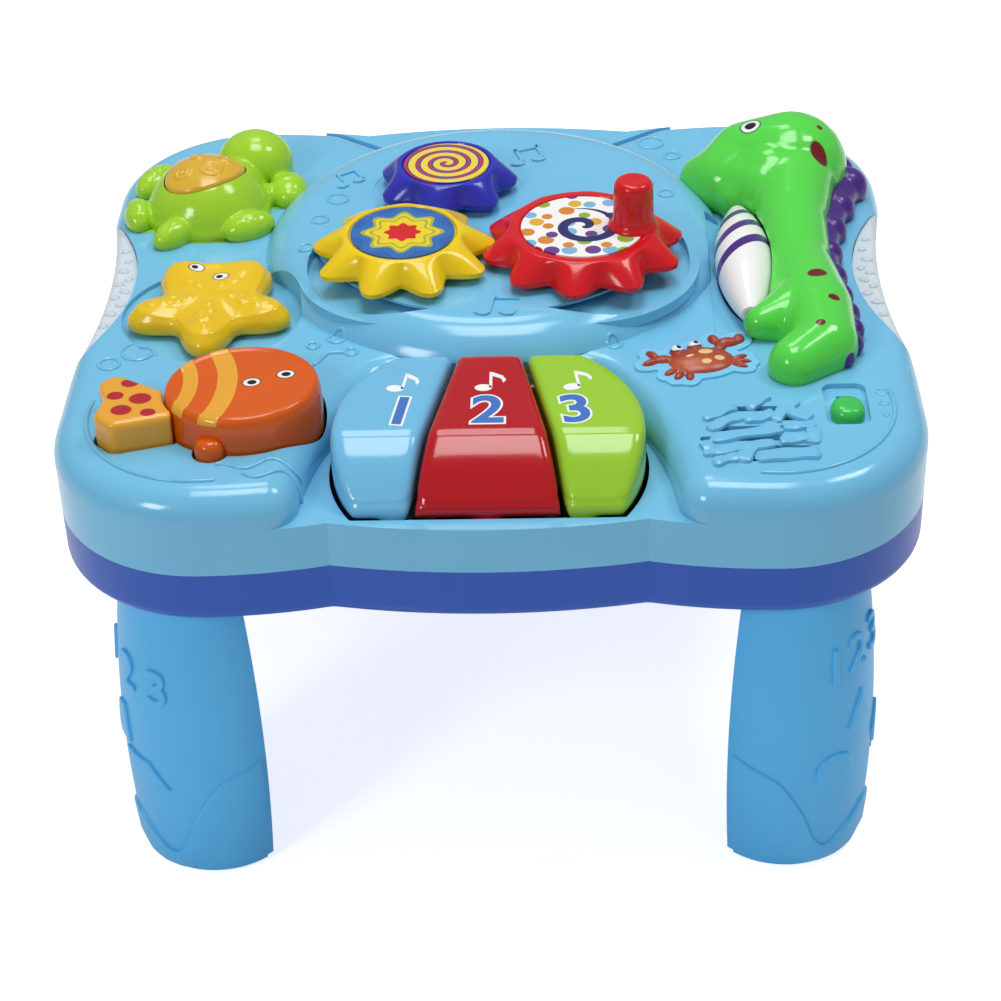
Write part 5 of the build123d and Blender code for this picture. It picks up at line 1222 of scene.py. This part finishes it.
class TABLE_OT_legs(bpy.types.Operator):
    """Finish the four legs and add their raised numerals, shapes and wavy cuffs"""
    bl_idname = "table.legs"
    bl_label = "Legs"

    def execute(self, context):
        blue = plastic("leg blue satin", colours().leg_blue, roughness=0.34, coat=0.04, pitch=900.0,
                       grain=0.08)
        for node, x, y in (("front_left_leg", -90.0, -90.5), ("front_right_leg", 90.0, -90.5),
                           ("back_left_leg", -90.0, 90.5), ("back_right_leg", 90.0, 90.5)):
            dress(blue, node)
            skin = skin_of(solid(node))

            def wrap(a, h, out):
                return self.on_leg(skin, (x, y), a, h, out)

            hand = 1 if x * y > 0 else -1
            numerals = ((-18, 71), (-4, 70), (9, 68.5)) if hand > 0 else ((-8, 73), (1.5, 75), (11.5, 77))
            parts = [self.cuff(wrap, hand)]
            for text, (a, h) in zip("123", numerals):
                parts.append(self.lay(melt(lettering(text, sizes().leg_numeral, 0.25, 0.9, 12), 0.4, 3),
                                      wrap, a, h, 1.1))
            parts += [self.badge(wrap, outline) for outline in self.shapes(hand)]
            settle(join(node + "_relief", parts), node, "leg_blue_plastic", blue, angle=45)
        return {"FINISHED"}

    def on_leg(self, skin, axis, a, h, out):
        """A point on the round of a leg: a is the arc in millimetres from its outer side, h the height."""
        angle = atan2(axis[1], axis[0]) + a / LEG_ROUND
        ray = Vector((cos(angle), sin(angle), 0))
        start = Vector((axis[0] * MM, axis[1] * MM, h * MM)) + ray * (LEG_CLEAR * MM)
        hit = skin.ray_cast(start, -ray)[0]
        if hit is None:
            raise RuntimeError(f"no leg at arc {a:.1f}, height {h:.1f}")
        return (hit + ray * out * MM) / MM

    def lay(self, piece, wrap, a=0.0, h=0.0, lift=1.0):
        """Bends a flat piece round a leg."""
        for corner in piece.data.vertices:
            spot = corner.co / MM
            corner.co = Vector(wrap(a + spot.x, h + spot.y, spot.z * lift)) * MM
        return seal(piece)

    def wave(self, a):
        """Height of the cuff's edge: a low trough, then a steep climb to the inner edge of the leg."""
        stops = [(-50, 36), (-41, 30), (-33, 20), (-24, 12), (-15, 16.5), (-8, 18.5), (0, 13.5), (8, 8.5),
                 (13, 14), (17, 25), (24, 37), (31, 41), (41, 44.5), (50, 47)]
        k = next(i for i in range(1, len(stops) - 2) if a <= stops[i + 1][0] or i == len(stops) - 3)
        (xa, ya), (xb, yb), (xc, yc), (xd, yd) = stops[k - 1:k + 3]
        t, width = (a - xb) / (xc - xb), xc - xb
        m0, m1 = width * (yc - ya) / (xc - xa), width * (yd - yb) / (xd - xb)
        return ((2 * t ** 3 - 3 * t ** 2 + 1) * yb + (t ** 3 - 2 * t ** 2 + t) * m0
                + (3 * t ** 2 - 2 * t ** 3) * yc + (t ** 3 - t ** 2) * m1)

    def cuff(self, wrap, hand):
        """The thicker foot, which ends in one long wave."""
        relief = sizes().leg_relief / MM
        columns, half_arc, sole, fall, sunk = 120, 40.0, 1.8, 14, -0.4

        def near_edge(drop):
            return lambda top: max(top - drop, sole + (top - sole) * (1 - drop / fall))

        levels = [(lambda top: 0.8, sunk), (lambda top: sole, relief)]
        levels += [(near_edge(drop), relief) for drop in (12.0, 6.0, 3.0, 1.6)]
        levels += [(near_edge(0.8), relief * 0.92), (near_edge(0.3), relief * 0.6), (near_edge(0.0), -0.3)]
        loops = []
        for height, out in levels:
            loop = []
            for i in range(columns + 1):
                a = 2 * half_arc * i / columns - half_arc
                loop.append(wrap(a, height(self.wave(a * hand)), sunk if i in (0, columns) else out))
            loops.append(loop)
        rows = len(loops) - 1
        return grid("leg_cuff", columns, rows, lambda u, v: loops[round(v * rows)][round(u * columns)])

    def shapes(self, hand):
        """Outlines in arc and height: wedge, pentagon and diamond, or triangle, diamond, disc and square."""
        if hand > 0:
            return [[(-17, 46.5), (-5, 47), (-7, 61), (-12, 60)],
                    [(-8, 44.5), (-4, 35), (3, 33), (10.5, 35.5), (3.5, 44)],
                    [(-26, 36), (-21, 45), (-24, 53), (-29, 45)]]
        return [[(-3, 53.5), (8, 53.5), (3.2, 66.5)], [(16, 35), (21, 43.5), (17, 52.5), (12, 43.5)],
                ellipse(-6.8, 40, 6.6, 5.8, 32), [(21, 28), (29, 27), (30, 36), (22, 37)]]

    def badge(self, wrap, outline):
        """A raised shape, half sunk in the leg."""
        thick = 2.0
        piece = plate("leg_badge", outline, thick)
        for corner in piece.data.vertices:
            corner.co.z -= thick / 2 * MM
        return self.lay(melt(piece, 0.4, 4), wrap)


class TABLE_OT_insides(bpy.types.Operator):
    """Finish the working parts inside and underneath"""
    bl_idname = "table.insides"
    bl_label = "Insides"

    def execute(self, context):
        c = colours()
        steel = plastic("steel", tint("B8BBC0"), roughness=0.32, coat=0.0, metal=1.0)
        dress(steel, "casing_screws", "red_gear_screw", "yellow_gear_screw", "blue_gear_screw",
              "starfish_screw", "figure_screws", "speaker_screws", "board_screws", "battery_door_screw",
              "key_hinge_rod", "roller_axle", "battery_contacts")
        dress(plastic("board green", tint("2E6B3C"), roughness=0.45, coat=0.05, mottle=0.12),
              "key_board", "fish_switch_board", "shell_switch_board", "main_board")
        dress(plastic("dome rubber", tint("D8D8D2"), roughness=0.6, coat=0.0),
              "key_domes", "fish_dome", "shell_dome")
        dress(plastic("chip black", tint("1A1A1C"), roughness=0.5, coat=0.0),
              "sound_chip", "speaker", "slide_switch")
        dress(plastic("clamp white", tint("E6E6E2"), roughness=0.4, coat=0.025), "speaker_clamp")
        dress(plastic("cell wrap", tint("7C8288"), roughness=0.3, coat=0.1, metal=0.6), "aa_cells")
        dress(plastic("door deep blue", c.deep_blue, roughness=0.3, coat=0.05), "battery_door")
        return {"FINISHED"}


# the camera's place in metres, its right, up and back, its focal length and picture width in pixels, and
# its sensor's width in millimetres

CAMERA_AT = (0.02208, -0.678316, 0.54193)
CAMERA_AXES = ((0.99956, 0.01334552, -0.02648972), (0.0138963, 0.57829753, 0.81570758),
               (0.02620499, -0.81571678, 0.57785762))
FOCAL_PIXELS, PICTURE_PIXELS, SENSOR = 2450, 1001, 36.0

# the lamps' places and widths in metres and their watts, what they point at, and the light of the sky

LAMPS = (((0.0, 0.1, 1.6), 0.6, 8.0), ((-0.8, -0.95, 0.95), 0.34, 4.4), ((0.62, 0.17, 1.18), 0.3, 3.0),
         ((-0.1, 0.75, 1.35), 0.4, 2.5))
LAMP_AIM = (0, 0, 0.12)
SKY_LIGHT = 0.32

# glow of the paper as the camera sees it, and the share of it that shows in gloss

PAPER_GLOW, MIRRORED_GLOW = 0.74, 0.25


class TABLE_OT_stage(bpy.types.Operator):
    """Set up the floor, the soft lights and the camera"""
    bl_idname = "table.stage"
    bl_label = "Stage"

    def execute(self, context):
        scene = context.scene
        scene.view_settings.view_transform = "Standard"
        deselect()
        bpy.ops.mesh.primitive_plane_add(size=8.0)
        floor = bpy.context.object
        floor.name = "studio_floor"
        floor.data.materials.append(self.floor_finish())
        scene.world = self.sky()
        for place, width, power in LAMPS:
            bpy.ops.object.light_add(type="AREA", location=place)
            lamp = bpy.context.object
            lamp.data.size = width
            lamp.data.energy = power
            aim = Vector(LAMP_AIM) - Vector(place)
            lamp.rotation_euler = aim.to_track_quat("-Z", "Y").to_euler()
        bpy.ops.object.camera_add()
        camera = bpy.context.object
        camera.matrix_world = Matrix.Translation(CAMERA_AT) @ Matrix(CAMERA_AXES).transposed().to_4x4()
        camera.data.sensor_width = SENSOR
        camera.data.lens = SENSOR * FOCAL_PIXELS / PICTURE_PIXELS
        camera.data.clip_start = 0.01
        scene.camera = camera
        return {"FINISHED"}

    def sky(self):
        """A soft even light that the camera sees as white."""
        world = bpy.data.worlds.new("studio")
        world.use_nodes = True
        tree = world.node_tree
        light = tree.nodes["Background"]
        light.inputs["Color"].default_value = (0.95, 0.97, 1.0, 1.0)
        rays = tree.nodes.new("ShaderNodeLightPath")
        strength = maths(tree, "MAXIMUM", rays.outputs["Is Camera Ray"], SKY_LIGHT)
        tree.links.new(strength, light.inputs["Strength"])
        return world

    def floor_finish(self):
        """White paper that takes the shadow and reads as white to the camera."""
        paper = bpy.data.materials.new("studio paper")
        paper.use_nodes = True
        tree = paper.node_tree
        shader = tree.nodes["Principled BSDF"]
        shader.inputs["Base Color"].default_value = (0.86, 0.87, 0.89, 1.0)
        shader.inputs["Roughness"].default_value = 0.6
        rays = tree.nodes.new("ShaderNodeLightPath")
        mirrored = maths(tree, "MULTIPLY", rays.outputs["Is Glossy Ray"], MIRRORED_GLOW)
        seen = maths(tree, "MAXIMUM", rays.outputs["Is Camera Ray"], mirrored)
        glow = tree.nodes.new("ShaderNodeEmission")
        tree.links.new(maths(tree, "MULTIPLY", seen, PAPER_GLOW), glow.inputs["Strength"])
        both = tree.nodes.new("ShaderNodeAddShader")
        tree.links.new(shader.outputs[0], both.inputs[0])
        tree.links.new(glow.outputs[0], both.inputs[1])
        tree.links.new(both.outputs[0], tree.nodes["Material Output"].inputs["Surface"])
        return paper


OPERATORS = (TABLE_OT_stage, TABLE_OT_casing, TABLE_OT_insides, TABLE_OT_gears, TABLE_OT_keys,
             TABLE_OT_fish, TABLE_OT_turtle, TABLE_OT_starfish, TABLE_OT_seahorse, TABLE_OT_crab,
             TABLE_OT_grille, TABLE_OT_switch, TABLE_OT_legs)


class TABLE_PT_panel(bpy.types.Panel):
    """Lists the pieces of the table"""
    bl_idname = "TABLE_PT_panel"
    bl_label = "Activity table"
    bl_space_type = "VIEW_3D"
    bl_region_type = "UI"
    bl_category = "Activity table"

    def draw(self, context):
        for each in OPERATORS:
            self.layout.operator(each.bl_idname)
        for group in (context.scene.table_colours, context.scene.table_sizes):
            for key in group.bl_rna.properties.keys():
                if key not in {"rna_type", "name"}:
                    self.layout.prop(group, key)


CLASSES = (TableColours, TableSizes, *OPERATORS, TABLE_PT_panel)


def register():
    for each in CLASSES:
        bpy.utils.register_class(each)
    bpy.types.Scene.table_colours = bpy.props.PointerProperty(type=TableColours)
    bpy.types.Scene.table_sizes = bpy.props.PointerProperty(type=TableSizes)


def unregister():
    del bpy.types.Scene.table_sizes
    del bpy.types.Scene.table_colours
    for each in reversed(CLASSES):
        bpy.utils.unregister_class(each)


def main():
    register()
    for each in OPERATORS:
        group, name = each.bl_idname.split(".")
        getattr(getattr(bpy.ops, group), name)()


if __name__ == "__main__":
    main()
